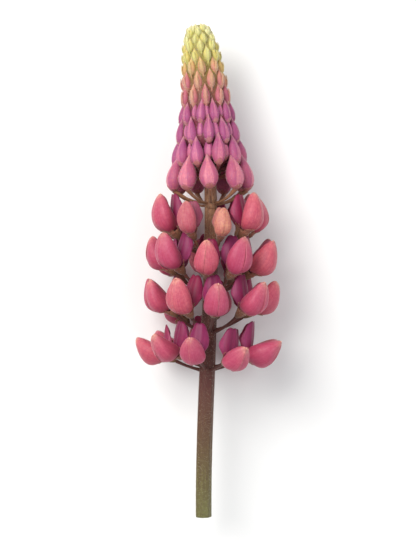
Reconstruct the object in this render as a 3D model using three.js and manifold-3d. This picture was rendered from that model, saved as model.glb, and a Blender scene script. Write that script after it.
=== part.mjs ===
// A lupin flower spike, cut with a short bare stalk and laid down on a flat surface, in millimetres.
//
// The growing tip points along +Y and +Z is up. The origin is on the surface, under the middle of the spike.
// From the cut end upwards it has a bare stalk, four whorls of open florets, and a cone of closed buds
// that are mauve-pink at its foot, blush above, and yellow-green at the tip.
import * as THREE from 'three';
import { mergeVertices } from 'three/addons/utils/BufferGeometryUtils.js';
import Module from 'manifold-3d';

const wasm = await Module();
wasm.setup();

// ---- Driving dimensions: millimetres and degrees. "Below" is always measured from the growing tip. ----

const SPIKE_LENGTH = 216;
const TIP_Y = 108;
const AXIS_X = -0.4;
const AXIS_HEIGHT = 28;
const LOWEST_WHORL = 150.5;
const BOW = 2; // sideways bow of the flowering part
const LEAN = 4.2; // sideways lean of the tip
const DROOP = 3; // how far the growing tip hangs below the middle
const MIDDLE = 118; // the highest point of the axis, below the tip

const STALK_RADIUS = 3.4;
const TIP_RADIUS = 1.2;
const GAP = 0.3; // clearance between one piece and the next
const PETAL_GAP = 0.45; // clearance from a calyx's middle to its petals
const SINK = 0.9; // how deep a root goes into what it grows from

// A whorl's pedicels leave the stalk at one angle and reach the calyx at another, and the wing petals
// then point at the wing angle, all measured up from square to the stalk. Open is the angle from
// the wings to the banner. Puff is how full the wings are.
const WHORL_COUNT = 9;
const WHORLS = [
  { name: 'upper', below: 101.5, phase: 78, puff: 0.9,
    pedicel: 13.5, leave: 16, arrive: 46, wing: 62, open: 31 },
  { name: 'second', below: 118.5, phase: 58, puff: 1,
    pedicel: 13.5, leave: 18, arrive: 42, wing: 45, open: 47 },
  { name: 'third', below: 135, phase: 80, puff: 1,
    pedicel: 13.5, leave: 16, arrive: 38, wing: 38, open: 55 },
  { name: 'lowest', below: 150.5, phase: 62, puff: 1,
    pedicel: 10.5, leave: 10, arrive: 26, wing: 16, open: 70 },
];
const UNDERSIDE = 0.8; // the downward share of a floret's direction past which it gives at its root
const SAG = 13; // how far such a floret may hang out, and how far the surface may lift it
const LIFT = 30;
const BEARING = 0.5; // how much of its roundness it loses where it bears on the surface
// How far one floret may differ from the next. Pedicel and size are shares of the whole.
const VARY = { azimuth: 3.5, rise: 1.2, pedicel: 0.06, arrive: 3, wing: 5, open: 4, size: 0.06 };
// The upper whorl's florets that have only begun to open, by their place in it: their share of full size.
const YOUNG = { 1: 0.8, 2: 0.92 };

const PEDICEL_RADIUS = 0.75;
const POINT_RADIUS = 0.15; // at the blunt point of a bud
const CALYX_LENGTH = 4.6;
const CALYX_RADIUS = 2.3;
const WING_LENGTH = 15.8;
const WING_HEIGHT = 9.6;
const WING_WIDTH = 10.5;
const WING_BELLY = 1.6; // how far the wings' middle line hangs, and how far it turns up at their point
const WING_UPTURN = 2.6;
const WING_FULLEST = 0.42; // how far along the wings are fullest
const WING_BLUNT = 0.58; // how blunt both their ends are: 1 for a point, and less for a rounder end
const SEAM = 0.84; // the share of their height that the wings keep along the seam on top
const BANNER_SET = 1.8; // how far along the wings the banner leaves them
const BANNER_SUNK = 0.6; // how far from their middle line it starts
const BANNER_LENGTH = 13.6;
const BANNER_HALF_WIDTH = 6;
const BANNER_FOLD = 78; // how far each side turns back
const BANNER_CURL = 14; // how far the tip turns back
const BANNER_ROUND = 0.25; // how much less its sides reach than its middle line
const PETAL_THICKNESS = 0.8;

const BUD_COUNTS = [9, 10, 10, 10, 10, 10, 9, 9, 8, 8, 7, 6]; // in each bud whorl, counted up from the foot
const BUD_PHASE = 90;
const BUD_VARY = { azimuth: 3, length: 0.05, foot: 0.04 };
const BUD_SWELL = 0.58; // a bud's greatest radius, as a share of its width
const BUD_TAPER = 0.25; // how much slimmer it is at its point than it would be if both its ends were alike
// The cone of buds widens by ROUNDING within its first millimetres, and then by SPREAD down to SPREAD_BY.
const CONE_TIP = 3.6;
const ROUNDING = 5;
const ROUNDED_WITHIN = 6;
const SPREAD = 10.6;
const SPREAD_BY = 66;
const CORE = 0.82; // the radius of the stem inside the upper buds, as a share of the cone's
const CORE_CROWN = 4; // the stem rounds off this close to the tip
const CORE_THINS = [49, 65]; // where that stem thins down to the stalk, below the tip
// The bud whorls of each colour. The lowest three whorls have pedicels.
const BUD_NODES = [
  { name: 'buds_mauve', first: 0, last: 3 },
  { name: 'buds_blush', first: 4, last: 6 },
  { name: 'buds_green', first: 7, last: 11 },
];
const WITH_PEDICELS = 3;
const STALK_TOP = 81; // where the bare stalk ends under the buds, below the tip

const rad = THREE.MathUtils.degToRad;
const UP = new THREE.Vector3(0, 0, 1);

// A repeatable draw between -1 and 1 for the trait'th trait of the piece'th piece.
function draw(piece, trait) {
  const x = Math.sin(piece * 12.9898 + trait * 78.233) * 43758.5453;
  return 2 * (x - Math.floor(x)) - 1;
}

// ---- The spike's own axis ----

function centre(below) {
  const v = 1 - below / LOWEST_WHORL;
  const x = AXIS_X + BOW * Math.sin(Math.PI * v) - LEAN * v ** 3;
  const z = AXIS_HEIGHT - DROOP * ((below - MIDDLE) / MIDDLE) ** 2;
  return new THREE.Vector3(x, TIP_Y - below, z);
}

// The frame at a height on the axis: out turns round it with the azimuth, 90 being straight up, and
// along points to the growing tip.
function frameAt(below, azimuth) {
  const along = centre(below - 0.5).sub(centre(below + 0.5)).normalize();
  const level = along.clone().cross(UP).normalize();
  const raised = level.clone().cross(along);
  const a = rad(azimuth);
  const out = level.multiplyScalar(Math.cos(a)).addScaledVector(raised, Math.sin(a));
  const side = out.clone().cross(along);
  return new THREE.Matrix4().makeBasis(out, along, side).setPosition(centre(below));
}

function stalkRadius(below) {
  return TIP_RADIUS + (STALK_RADIUS - TIP_RADIUS) * Math.min(1, below / LOWEST_WHORL) ** 0.6;
}

// ---- Solids ----

function solid(geometry) {
  const bare = geometry.clone();
  bare.deleteAttribute('normal');
  bare.deleteAttribute('uv');
  const merged = mergeVertices(bare, 1e-5);
  const vertProperties = new Float32Array(merged.attributes.position.array);
  const triVerts = new Uint32Array(merged.index.array);
  return new wasm.Manifold(new wasm.Mesh({ numProp: 3, vertProperties, triVerts }));
}

function geometryOf(made) {
  const mesh = made.getMesh();
  const geometry = new THREE.BufferGeometry();
  geometry.setAttribute('position', new THREE.BufferAttribute(new Float32Array(mesh.vertProperties), 3));
  geometry.setIndex(new THREE.BufferAttribute(new Uint32Array(mesh.triVerts), 1));
  return geometry;
}

// Moves each vertex of a closed geometry to where place(x, y, z) says.
function shaped(geometry, place) {
  const position = geometry.attributes.position;
  for (let i = 0; i < position.count; i++) {
    const p = place(position.getX(i), position.getY(i), position.getZ(i));
    position.setXYZ(i, p.x, p.y, p.z);
  }
  return geometry;
}

// A tapering round rod along a path, closed at both ends. path(t) gives { point, across, radius }, where
// across is square to the path and to the part's side.
function rod(path, sides, steps, side) {
  const blank = new THREE.CylinderGeometry(1, 1, 1, sides, steps);
  return shaped(blank, (x, y, z) => {
    const { point, across, radius } = path(y + 0.5);
    return point.clone().addScaledVector(across, x * radius).addScaledVector(side, z * radius);
  });
}

// A thin blade, PETAL_THICKNESS through, whose middle surface is at(v, h) for v from 0 to 1 and h from -1
// to 1. Both faces are split into triangles alike.
function blade(at, rows, columns) {
  const step = 1e-3;
  const across = columns + 1;
  const count = (rows + 1) * across;
  const points = [];
  for (const face of [0.5, -0.5]) {
    for (let i = 0; i <= rows; i++) {
      for (let j = 0; j <= columns; j++) {
        const [v, h] = [i / rows, (2 * j) / columns - 1];
        const up = at(v + step, h).sub(at(v - step, h));
        const wide = at(v, h + step).sub(at(v, h - step));
        const normal = wide.cross(up).normalize();
        points.push(...at(v, h).addScaledVector(normal, face * PETAL_THICKNESS).toArray());
      }
    }
  }
  const index = [];
  const quad = (a, b, c, d) => index.push(a, b, c, a, c, d);
  for (let i = 0; i < rows; i++) {
    for (let j = 0; j < columns; j++) {
      const [a, b] = [i * across + j, i * across + j + 1];
      const [d, c] = [a + across, b + across];
      quad(a, b, c, d);
      index.push(a + count, c + count, b + count, a + count, d + count, c + count);
    }
  }
  const rim = [];
  for (let j = 0; j < columns; j++) rim.push(j);
  for (let i = 0; i < rows; i++) rim.push(i * across + columns);
  for (let j = columns; j > 0; j--) rim.push(rows * across + j);
  for (let i = rows; i > 0; i--) rim.push(i * across);
  rim.forEach((a, k) => {
    const b = rim[(k + 1) % rim.length];
    quad(a, a + count, b + count, b);
  });
  const geometry = new THREE.BufferGeometry();
  geometry.setAttribute('position', new THREE.Float32BufferAttribute(points, 3));
  return geometry.setIndex(index);
}

// ---- One open floret, in the frame of its root: +X out from the axis, +Y along it, +Z to its side ----

const OUT = new THREE.Vector3(1, 0, 0);
const SIDE = new THREE.Vector3(0, 0, 1);

function toward(degrees) {
  return new THREE.Vector3(Math.cos(rad(degrees)), Math.sin(rad(degrees)), 0);
}

// What sets the j'th floret of whorl w apart from the others.
function floretTraits(w, j) {
  const whorl = WHORLS[w];
  const piece = w * WHORL_COUNT + j;
  const grown = w === 0 ? YOUNG[j + 1] ?? 1 : 1;
  return {
    azimuth: whorl.phase + (360 / WHORL_COUNT) * j + VARY.azimuth * draw(piece, 1),
    rise: VARY.rise * draw(piece, 2),
    stalk: stalkRadius(whorl.below),
    pedicel: whorl.pedicel * (1 + VARY.pedicel * draw(piece, 3)),
    leave: whorl.leave,
    arrive: whorl.arrive + VARY.arrive * draw(piece, 4),
    wing: whorl.wing + VARY.wing * draw(piece, 5),
    open: whorl.open + VARY.open * draw(piece, 6),
    size: (1 + VARY.size * draw(piece, 7)) * grown,
    puff: whorl.puff,
  };
}

function lifted(traits, by) {
  return { ...traits, leave: traits.leave + by, arrive: traits.arrive + by, wing: traits.wing + by };
}

// Where the pedicel's middle line is at t, from 0 inside the stalk to 1 at the calyx.
function pedicelPath(traits, t) {
  const point = new THREE.Vector3(traits.stalk - SINK, 0, 0);
  const steps = 12;
  for (let i = 0; i < steps; i++) {
    const angle = traits.leave + (traits.arrive - traits.leave) * t * ((i + 0.5) / steps);
    point.addScaledVector(toward(angle), (t * (traits.pedicel + SINK)) / steps);
  }
  return point;
}

// The pedicel, flaring into the cup of the calyx.
function footing(traits) {
  const cup = 0.6; // the share of the rod's rings that the calyx takes
  const top = pedicelPath(traits, 1);
  const path = (t) => {
    const grown = Math.min(1, t / (1 - cup));
    const flare = Math.max(0, (t - 1 + cup) / cup);
    const point = flare === 0 ? pedicelPath(traits, grown) : top.clone();
    const widening = CALYX_RADIUS * traits.size - PEDICEL_RADIUS;
    return {
      point: point.addScaledVector(toward(traits.arrive), CALYX_LENGTH * traits.size * flare),
      across: toward(traits.leave + (traits.arrive - traits.leave) * grown - 90),
      radius: PEDICEL_RADIUS + widening * Math.sin(rad(90) * flare) ** 0.8,
    };
  };
  return rod(path, 5, 5, SIDE);
}

// Where the petals begin, just clear of the calyx's mouth.
function mouth(traits) {
  const past = CALYX_LENGTH * traits.size + PETAL_GAP;
  return pedicelPath(traits, 1).addScaledVector(toward(traits.arrive), past);
}

// From 0 at both ends of a form to 1 where it is fullest.
function roundness(t, fullest) {
  return Math.sin(Math.PI * t ** (Math.log(0.5) / Math.log(fullest)));
}

// The two wing petals, closed over the keel: a boat with a full belly, a seam on top and an upturned point.
function wings(traits) {
  const start = mouth(traits);
  const forward = toward(traits.wing);
  const upward = toward(traits.wing + 90);
  return shaped(new THREE.SphereGeometry(1, 8, 5), (x, y, z) => {
    const t = (1 - y) / 2;
    const ring = Math.hypot(x, z) || 1;
    const swell = roundness(t, WING_FULLEST) ** WING_BLUNT * traits.puff;
    const seam = x / ring > 0.9 ? SEAM : 1;
    const middle = WING_UPTURN * t ** 2 - WING_BELLY * Math.sin(Math.PI * t);
    const high = middle + (x / ring) * seam * (WING_HEIGHT / 2) * swell;
    return start.clone()
      .addScaledVector(forward, WING_LENGTH * traits.size * t)
      .addScaledVector(upward, high * traits.size)
      .addScaledVector(SIDE, (z / ring) * (WING_WIDTH / 2) * swell * traits.size);
  });
}

// The banner petal: it stands up behind the wings, and its sides fold back from its middle line.
function banner(traits) {
  const start = mouth(traits)
    .addScaledVector(toward(traits.wing), BANNER_SET)
    .addScaledVector(toward(traits.wing + 90), BANNER_SUNK);
  const heading = traits.wing + traits.open;
  const at = (v, h) => {
    const reach = v * (1 - BANNER_ROUND * h * h);
    const curl = heading + BANNER_CURL * v;
    const spine = start.clone()
      .addScaledVector(toward(heading + (BANNER_CURL / 2) * v), BANNER_LENGTH * traits.size * reach);
    const outline = 0.2 + 0.8 * Math.sin(Math.PI * (0.08 + 0.8 * v)) ** 0.8;
    const arc = BANNER_HALF_WIDTH * traits.size * outline * Math.abs(h);
    const turn = Math.max(rad(BANNER_FOLD) * Math.abs(h), 1e-6);
    return spine
      .addScaledVector(SIDE, (Math.sign(h) * arc * Math.sin(turn)) / turn)
      .addScaledVector(toward(curl + 90), (arc * (1 - Math.cos(turn))) / turn);
  };
  return blade(at, 3, 4);
}

function petals(traits) {
  return solid(wings(traits)).add(solid(banner(traits)));
}

// Where a floret's root frame is on the spike.
function floretPlace(w, traits) {
  const turn = new THREE.Matrix4().makeRotationY(-rad(traits.azimuth)).setPosition(0, traits.rise, 0);
  return frameAt(WHORLS[w].below, 0).multiply(turn);
}

function lowest(geometry) {
  geometry.computeBoundingBox();
  return geometry.boundingBox.min.z;
}

// A floret on the underside gives at its root until its wings bear on the surface, or as far as it can.
function settled(w, traits) {
  if (-Math.sin(rad(traits.azimuth)) < UNDERSIDE) return traits;
  const place = floretPlace(w, traits);
  let [low, high] = [-SAG, LIFT];
  for (let i = 0; i < 16; i++) {
    const middle = (low + high) / 2;
    if (lowest(wings(lifted(traits, middle)).applyMatrix4(place)) < -BEARING) low = middle;
    else high = middle;
  }
  return lifted(traits, high);
}

// ---- The closed buds ----

// How far the foot of bud whorl k is below the tip, and its buds' length and width.
const budFoot = (k) => 74 - 11 * k + 0.424 * k ** 2;
const budLength = (k) => 16.5 * Math.exp(-0.12 * k);
const budWidth = (k) => 3.75 - 0.11 * k + 3.55 * Math.exp(-0.75 * k);
// How far along a bud is fullest, from its foot: a little below its middle.
const budFullest = (k) => 0.385 + 0.01 * Math.min(k, 5);

// The cone's outer radius at a distance below the tip.
function coneRadius(below) {
  const far = Math.max(0, below);
  return CONE_TIP + ROUNDING * (1 - Math.exp(-far / ROUNDED_WITHIN)) + SPREAD * (far / SPREAD_BY) ** 2;
}

// The stem inside the cone: it is stout where the buds sit on it, and slim where they have pedicels.
function coreRadius(below) {
  const slim = THREE.MathUtils.smoothstep(below, ...CORE_THINS);
  const stout = CORE * coneRadius(below) * Math.sqrt(Math.min(1, below / CORE_CROWN));
  return stout + (stalkRadius(below) - stout) * slim;
}

function budAzimuth(k, j) {
  const stagger = 0.5 * (k % 2);
  return BUD_PHASE + (360 / BUD_COUNTS[k]) * (j + stagger) + BUD_VARY.azimuth * draw(100 + 10 * k + j, 1);
}

// Bud j of whorl k, round at its foot and leaning in to its point. Those with pedicels are one rod with
// theirs, and the others sit on the stem. grow makes it larger all round.
function bud(k, j, grow) {
  const piece = 100 + 10 * k + j;
  const length = budLength(k) * (1 + BUD_VARY.length * draw(piece, 2));
  const width = budWidth(k);
  const foot = budFoot(k) + BUD_VARY.foot * length * draw(piece, 3);
  const belly = coneRadius(foot - 0.35 * length) - 0.5 * width;
  const point = coneRadius(foot - length) - 0.42 * width;
  const middle = (t) => {
    const out = belly + (point - belly) * t ** 2;
    return new THREE.Vector3(out, length * t + (2 * t - 1) * grow, 0);
  };
  const radius = (t) => BUD_SWELL * width * roundness(t, budFullest(k)) * (1 - BUD_TAPER * t) + grow;
  let shape;
  if (k < WITH_PEDICELS) {
    const rings = 5;
    const drop = 0.3 * length; // how far below its foot the pedicel leaves the stem
    const root = new THREE.Vector3(coreRadius(foot + drop) - SINK, -drop, 0);
    const path = (s) => {
      const v = Math.max(0, (s * rings - 1) / (rings - 1));
      const t = (1 - Math.cos(Math.PI * v)) / 2;
      const least = (s < 1 ? PEDICEL_RADIUS : POINT_RADIUS) + grow;
      return { point: s > 0 ? middle(t) : root, across: OUT, radius: Math.max(least, radius(t)) };
    };
    shape = rod(path, 5, rings, SIDE);
  } else {
    shape = shaped(new THREE.SphereGeometry(1, 5, 4), (x, y, z) => {
      const ring = Math.hypot(x, z);
      const t = (1 + y) / 2;
      const share = ring > 1e-6 ? radius(t) / ring : 0;
      return middle(t).add(new THREE.Vector3(x * share, 0, z * share));
    });
  }
  return shape.applyMatrix4(frameAt(foot, budAzimuth(k, j)));
}

// The stem between two heights.
function stem(from, to, radiusAt, sides, steps) {
  return shaped(new THREE.CylinderGeometry(1, 1, 1, sides, steps), (x, y, z) => {
    const below = from + (to - from) * (y + 0.5);
    const radius = radiusAt(below);
    return new THREE.Vector3(x * radius, 0, z * radius).applyMatrix4(frameAt(below, 0));
  });
}

// The buds of one colour with the stem inside them. grow makes a larger body to cut the next one back by.
function budNode(index, grow) {
  const { first, last } = BUD_NODES[index];
  const startOf = (k) => budFoot(k) + 0.3 * budLength(k);
  const from = index === 0 ? STALK_TOP : startOf(first);
  const to = index + 1 < BUD_NODES.length ? startOf(last + 1) : GAP;
  let made = solid(stem(from + grow, to + GAP, (below) => coreRadius(below) + grow, 8, 3));
  for (let k = first; k <= last; k++) {
    for (let j = 0; j < BUD_COUNTS[k]; j++) {
      made = made.add(solid(bud(k, j, grow)));
    }
  }
  return made;
}

// ---- The spike ----

const LOOKS = {
  stalk: { color: '#7a6a45', roughness: 0.65 },
  petal: { color: '#d9607f', roughness: 0.6 },
  buds_mauve: { color: '#b85c8c', roughness: 0.6 },
  buds_blush: { color: '#d49a86', roughness: 0.6 },
  buds_green: { color: '#d6d272', roughness: 0.6 },
};

// One named piece. Where a cut left loose scraps, they are dropped.
function piece(name, made, look) {
  const largest = made.decompose().sort((a, b) => b.volume() - a.volume())[0];
  const material = new THREE.MeshStandardMaterial({ ...LOOKS[look], metalness: 0 });
  const mesh = new THREE.Mesh(geometryOf(largest), material);
  mesh.name = name;
  return mesh;
}

const spike = new THREE.Group();
const surface = new THREE.BoxGeometry(400, 400, 60).translate(0, 0, -30); // what the spike lies on

let stalk = solid(stem(SPIKE_LENGTH, STALK_TOP + GAP, stalkRadius, 10, 12));
WHORLS.forEach((whorl, w) => {
  const group = new THREE.Group();
  group.applyMatrix4(frameAt(whorl.below, 0));
  spike.add(group);
  for (let j = 0; j < WHORL_COUNT; j++) {
    const traits = settled(w, floretTraits(w, j));
    const place = floretPlace(w, traits);
    stalk = stalk.add(solid(footing(traits).applyMatrix4(place)));
    const below = surface.clone().applyMatrix4(place.clone().invert());
    const floret = piece(`${whorl.name}_floret_${j + 1}`, petals(traits).subtract(solid(below)), 'petal');
    floret.position.y = traits.rise;
    floret.rotation.y = -rad(traits.azimuth);
    group.add(floret);
  }
});
spike.add(piece('stalk', stalk, 'stalk'));

BUD_NODES.forEach(({ name }, index) => {
  let made = budNode(index, 0);
  if (index + 1 < BUD_NODES.length) made = made.subtract(budNode(index + 1, GAP));
  spike.add(piece(name, made, name));
});

export default spike;
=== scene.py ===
# %% [markdown]
# # A lupin flower spike
#
# A lupin carries its flowers in whorls round one stalk. The lowest whorls open first, so a spike in bloom
# shows every age of flower at once: open florets at its foot, coloured buds above them, and green buds
# that are packed tight at the tip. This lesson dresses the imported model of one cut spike, lying down.
# The model gives the size and place of every floret, and each step here makes one kind of piece finer.

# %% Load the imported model
import math

import bpy
import numpy as np
from mathutils import Matrix, Vector


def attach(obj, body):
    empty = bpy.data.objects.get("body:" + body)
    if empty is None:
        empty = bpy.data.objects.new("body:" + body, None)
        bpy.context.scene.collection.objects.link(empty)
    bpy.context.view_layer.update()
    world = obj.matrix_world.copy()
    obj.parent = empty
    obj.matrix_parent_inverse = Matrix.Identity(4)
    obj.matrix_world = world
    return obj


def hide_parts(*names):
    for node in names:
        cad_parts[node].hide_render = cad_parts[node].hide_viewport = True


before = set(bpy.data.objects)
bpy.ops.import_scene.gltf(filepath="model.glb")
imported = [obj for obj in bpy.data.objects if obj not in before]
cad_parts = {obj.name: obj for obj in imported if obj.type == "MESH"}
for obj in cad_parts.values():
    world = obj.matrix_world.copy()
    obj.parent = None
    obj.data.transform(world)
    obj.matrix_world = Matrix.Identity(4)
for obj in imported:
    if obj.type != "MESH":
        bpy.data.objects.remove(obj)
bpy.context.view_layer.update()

MM = 0.001  # Blender works in metres, and the sizes below are in millimetres

# %% [markdown]
# ## Camera, light and floor
#
# The spike lies along Y with its tip at +Y, so a camera straight above it sees it upright, as it grew.
# A long lens keeps the florets at the edges from leaning. One large soft light from the upper left models
# the round petals, and a weaker one opposite keeps the gaps between whorls readable.

# %% Camera
LENS = 85.0
SENSOR_HEIGHT = 24.0
FRAME_HEIGHT = 0.236  # what the view takes in from top to bottom, at the height of the florets
FLORET_HEIGHT = 0.03

camera_data = bpy.data.cameras.new("camera")
camera_data.lens = LENS
camera_data.sensor_fit = "VERTICAL"
camera_data.sensor_height = SENSOR_HEIGHT
camera = bpy.data.objects.new("camera", camera_data)
camera_height = FRAME_HEIGHT * LENS / SENSOR_HEIGHT
camera.location = (0.0, 0.0, camera_height + FLORET_HEIGHT)
bpy.context.scene.collection.objects.link(camera)
bpy.context.scene.camera = camera
print("camera", round(camera_height, 3), "m above the florets")


# %% Lights
def soft_light(name, place, size, power, tint):
    """A square area light that faces the middle of the spike."""
    data = bpy.data.lights.new(name, "AREA")
    data.size = size
    data.energy = power
    data.color = tint
    light = bpy.data.objects.new(name, data)
    light.location = place
    light.rotation_euler = (-light.location).to_track_quat("-Z", "Y").to_euler()
    bpy.context.scene.collection.objects.link(light)
    print(name, "light,", power, "W,", round(light.location.length, 2), "m away")


soft_light("key", place=(-0.4, 0.35, 0.75), size=0.6, power=8.5, tint=(1.0, 0.98, 0.95))
soft_light("fill", place=(0.6, -0.25, 0.7), size=0.8, power=2.5, tint=(0.96, 0.98, 1.0))

# %% Room and floor
ROOM_COLOUR = (0.95, 0.97, 1.0, 1.0)
ROOM_STRENGTH = 0.56
FLOOR_SIZE = 3.0

world = bpy.data.worlds.new("room")
world.use_nodes = True
world.node_tree.nodes["Background"].inputs["Color"].default_value = ROOM_COLOUR
world.node_tree.nodes["Background"].inputs["Strength"].default_value = ROOM_STRENGTH
bpy.context.scene.world = world
bpy.context.scene.view_settings.view_transform = "Standard"

floor_mesh = bpy.data.meshes.new("floor")
half = FLOOR_SIZE / 2
corners = [(-half, -half, 0), (half, -half, 0), (half, half, 0), (-half, half, 0)]
floor_mesh.from_pydata(corners, [], [(0, 1, 2, 3)])
floor = bpy.data.objects.new("floor", floor_mesh)
bpy.context.scene.collection.objects.link(floor)
print("floor", FLOOR_SIZE, "m wide")

# %% [markdown]
# ## Where everything grows
#
# A real spike is never straight: it bows, its tip leans, and when it lies down its ends hang a little.
# One function gives the middle line of the stalk at any distance below the tip, and a second gives the
# frame there: out from the stalk, along it to the tip, and to the side. Every floret, bud and pedicel is
# shaped in such a frame, so nothing needs to be placed by hand.

# %% The spike's own axis
SPIKE_LENGTH = 216.0
TIP_Y = 108.0
AXIS_X = -0.4
AXIS_HEIGHT = 28.0
LOWEST_WHORL = 150.5  # how far the lowest whorl is below the tip, as "below" is always meant
BOW = 2.0  # sideways bow of the flowering part
LEAN = 4.2  # sideways lean of the tip
DROOP = 3.0  # how far the growing tip hangs below the middle
MIDDLE = 118.0  # the highest point of the axis
STALK_RADIUS = 3.4
TIP_RADIUS = 1.2
STALK_TAPER = 0.6


def draw(piece, trait):
    """A repeatable number between -1 and 1 for one trait of one piece."""
    x = math.sin(piece * 12.9898 + trait * 78.233) * 43758.5453
    return 2 * (x - math.floor(x)) - 1


def centre(below):
    """The middle of the stalk at a distance below the tip."""
    v = 1 - below / LOWEST_WHORL
    x = AXIS_X + BOW * math.sin(math.pi * v) - LEAN * v**3
    z = AXIS_HEIGHT - DROOP * ((below - MIDDLE) / MIDDLE) ** 2
    return np.array([x, TIP_Y - below, z])


def frame_at(below, azimuth):
    """The origin there, and out, along and side as the rows of a matrix."""
    along = centre(below - 0.5) - centre(below + 0.5)
    along /= np.linalg.norm(along)
    level = np.cross(along, (0, 0, 1))
    level /= np.linalg.norm(level)
    a = math.radians(azimuth)
    out = level * math.cos(a) + np.cross(level, along) * math.sin(a)
    return centre(below), np.array([out, along, np.cross(out, along)])


def placed(points, place):
    """Points of a local frame, where that frame is on the spike."""
    origin, rows = place
    return origin + points @ rows


def stalk_radius(below):
    """The radius of the bare stalk."""
    return TIP_RADIUS + (STALK_RADIUS - TIP_RADIUS) * min(1, below / LOWEST_WHORL) ** STALK_TAPER


print("tip at", centre(0).round(1), "cut end at", centre(SPIKE_LENGTH).round(1))


# %% Curves that every form is made from
def smooth(x, low, high):
    """From 0 at low to 1 at high, gently."""
    t = np.clip((np.asarray(x, float) - low) / (high - low), 0, 1)
    return t * t * (3 - 2 * t)


def roundness(t, fullest):
    """From 0 at both ends of a form to 1 where it is fullest."""
    return np.sin(np.pi * t ** (math.log(0.5) / math.log(fullest)))


def peak(x, place, width):
    """1 at a place, and fading to 0 on both sides of it."""
    return np.exp(-(((x - place) / width) ** 2))


def crowded(share):
    """Even steps from 0 to 1, drawn towards both ends."""
    return (share + (1 - np.cos(np.pi * share)) / 2) / 2


print("a quarter of the way, crowded steps have come", round(crowded(0.25), 2))

# %% [markdown]
# ## Meshes from formulas
#
# A petal is a thin sheet with two faces, curved in every direction. It could be sculpted, or made as one
# face and thickened by a modifier. Here a function of two numbers gives its middle surface, and the
# helper makes both faces and the rim in one go. It also keeps those two numbers on every point, as
# attributes named along and across, so that colour can follow the petal instead of the room.


# %% Thin shells
def grid_faces(rows, columns, first=0, turned=False):
    """The quads of a grid of points, rows by columns."""
    i, j = np.meshgrid(np.arange(rows), np.arange(columns), indexing="ij")
    a = (first + i * (columns + 1) + j).ravel()
    quads = np.stack([a, a + 1, a + columns + 2, a + columns + 1], -1)
    return quads[:, ::-1] if turned else quads


def shell(at, rows, columns, thickness, first=0.0, last=1.0):
    """A closed thin sheet round the surface at(v, h), for h from -1 to 1."""
    v, h = np.meshgrid(np.linspace(first, last, rows + 1), np.linspace(-1, 1, columns + 1), indexing="ij")
    v, h = v.ravel(), h.ravel()
    step = 1e-4
    normal = np.cross(at(v, h + step) - at(v, h - step), at(v + step, h) - at(v - step, h))
    normal /= np.maximum(np.linalg.norm(normal, axis=1), 1e-12)[:, None]
    middle = at(v, h)
    count = len(v)
    rim = list(range(columns))
    rim += [i * (columns + 1) + columns for i in range(rows)]
    rim += [rows * (columns + 1) + j for j in range(columns, 0, -1)]
    rim += [i * (columns + 1) for i in range(rows, 0, -1)]
    rim = np.array(rim)
    after = np.roll(rim, -1)
    faces = [
        grid_faces(rows, columns),
        grid_faces(rows, columns, count, turned=True),
        np.stack([rim, rim + count, after + count, after], -1),
    ]
    return {
        "points": np.vstack([middle + normal * thickness / 2, middle - normal * thickness / 2]),
        "faces": np.vstack(faces),
        "along": np.tile(v, 2),
        "across": np.tile(h, 2),
    }


print("2 by 2 squares make", len(grid_faces(2, 2)), "faces on each side of a sheet")


# %% Tubes
def ring_grid(rings, sides):
    """How far along a tube, and how far round it, each of its points is, ring by ring."""
    around = np.linspace(0, 2 * np.pi, sides, False)
    s, turn = np.meshgrid(np.linspace(0, 1, rings + 1), around, indexing="ij")
    return s.ravel(), turn.ravel()


def tube(ring_at, rings, sides):
    """A closed tube. ring_at(s, turn) gives its surface, for s from 0 to 1 and turn round it."""
    s, turn = ring_grid(rings, sides)
    points = ring_at(s, turn)
    i, j = np.meshgrid(np.arange(rings), np.arange(sides), indexing="ij")
    a, b = (i * sides + j).ravel(), (i * sides + (j + 1) % sides).ravel()
    quads = np.stack([a, b, b + sides, a + sides], -1)
    ends = np.vstack([points[:sides].mean(0), points[-sides:].mean(0)])
    foot, head = len(points), len(points) + 1
    j = np.arange(sides)
    low = np.stack([(j + 1) % sides, j, np.full(sides, foot), np.full(sides, -1)], -1)
    top = rings * sides
    high = np.stack([top + j, top + (j + 1) % sides, np.full(sides, head), np.full(sides, -1)], -1)
    return {
        "points": np.vstack([points, ends]),
        "faces": np.vstack([quads, low, high]),
        "along": np.append(s, [0.0, 1.0]),
        "across": np.append(np.cos(turn), [0.0, 0.0]),
    }


print("2 rings of 4 sides and their ends have", len(ring_grid(1, 4)[0]) + 2, "points")


# %% From parts to one mesh
def make_mesh(name, parts, materials, extra=None):
    """One mesh of several parts, each with its material's index. -1 in a face means a triangle."""
    points, faces, along, across, index = [], [], [], [], []
    count = 0
    for part, material in parts:
        points.append(part["points"])
        along.append(part["along"])
        across.append(part["across"])
        for face in part["faces"]:
            faces.append([int(p) + count for p in face if p >= 0])
        index += [material] * len(part["faces"])
        count += len(part["points"])
    mesh = bpy.data.meshes.new(name)
    mesh.from_pydata((np.vstack(points) * MM).tolist(), [], faces)
    values = {"along": np.concatenate(along), "across": np.concatenate(across), **(extra or {})}
    for key, value in values.items():
        column = np.full(count, value) if np.isscalar(value) else value
        mesh.attributes.new(key, "FLOAT", "POINT").data.foreach_set("value", column.astype(np.float32))
    for material in materials:
        mesh.materials.append(material)
    mesh.polygons.foreach_set("material_index", index)
    mesh.polygons.foreach_set("use_smooth", [True] * len(faces))
    mesh.update()
    return mesh


# %% From mesh to finished piece
def add_object(mesh, name=None):
    """An object in the scene that shows a mesh."""
    item = bpy.data.objects.new(name or mesh.name, mesh)
    bpy.context.scene.collection.objects.link(item)
    return item


def joined(name, items):
    """Several mesh objects made one."""
    with bpy.context.temp_override(active_object=items[0], selected_editable_objects=items):
        bpy.ops.object.join()
    items[0].name = items[0].data.name = name
    return items[0]


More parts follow.
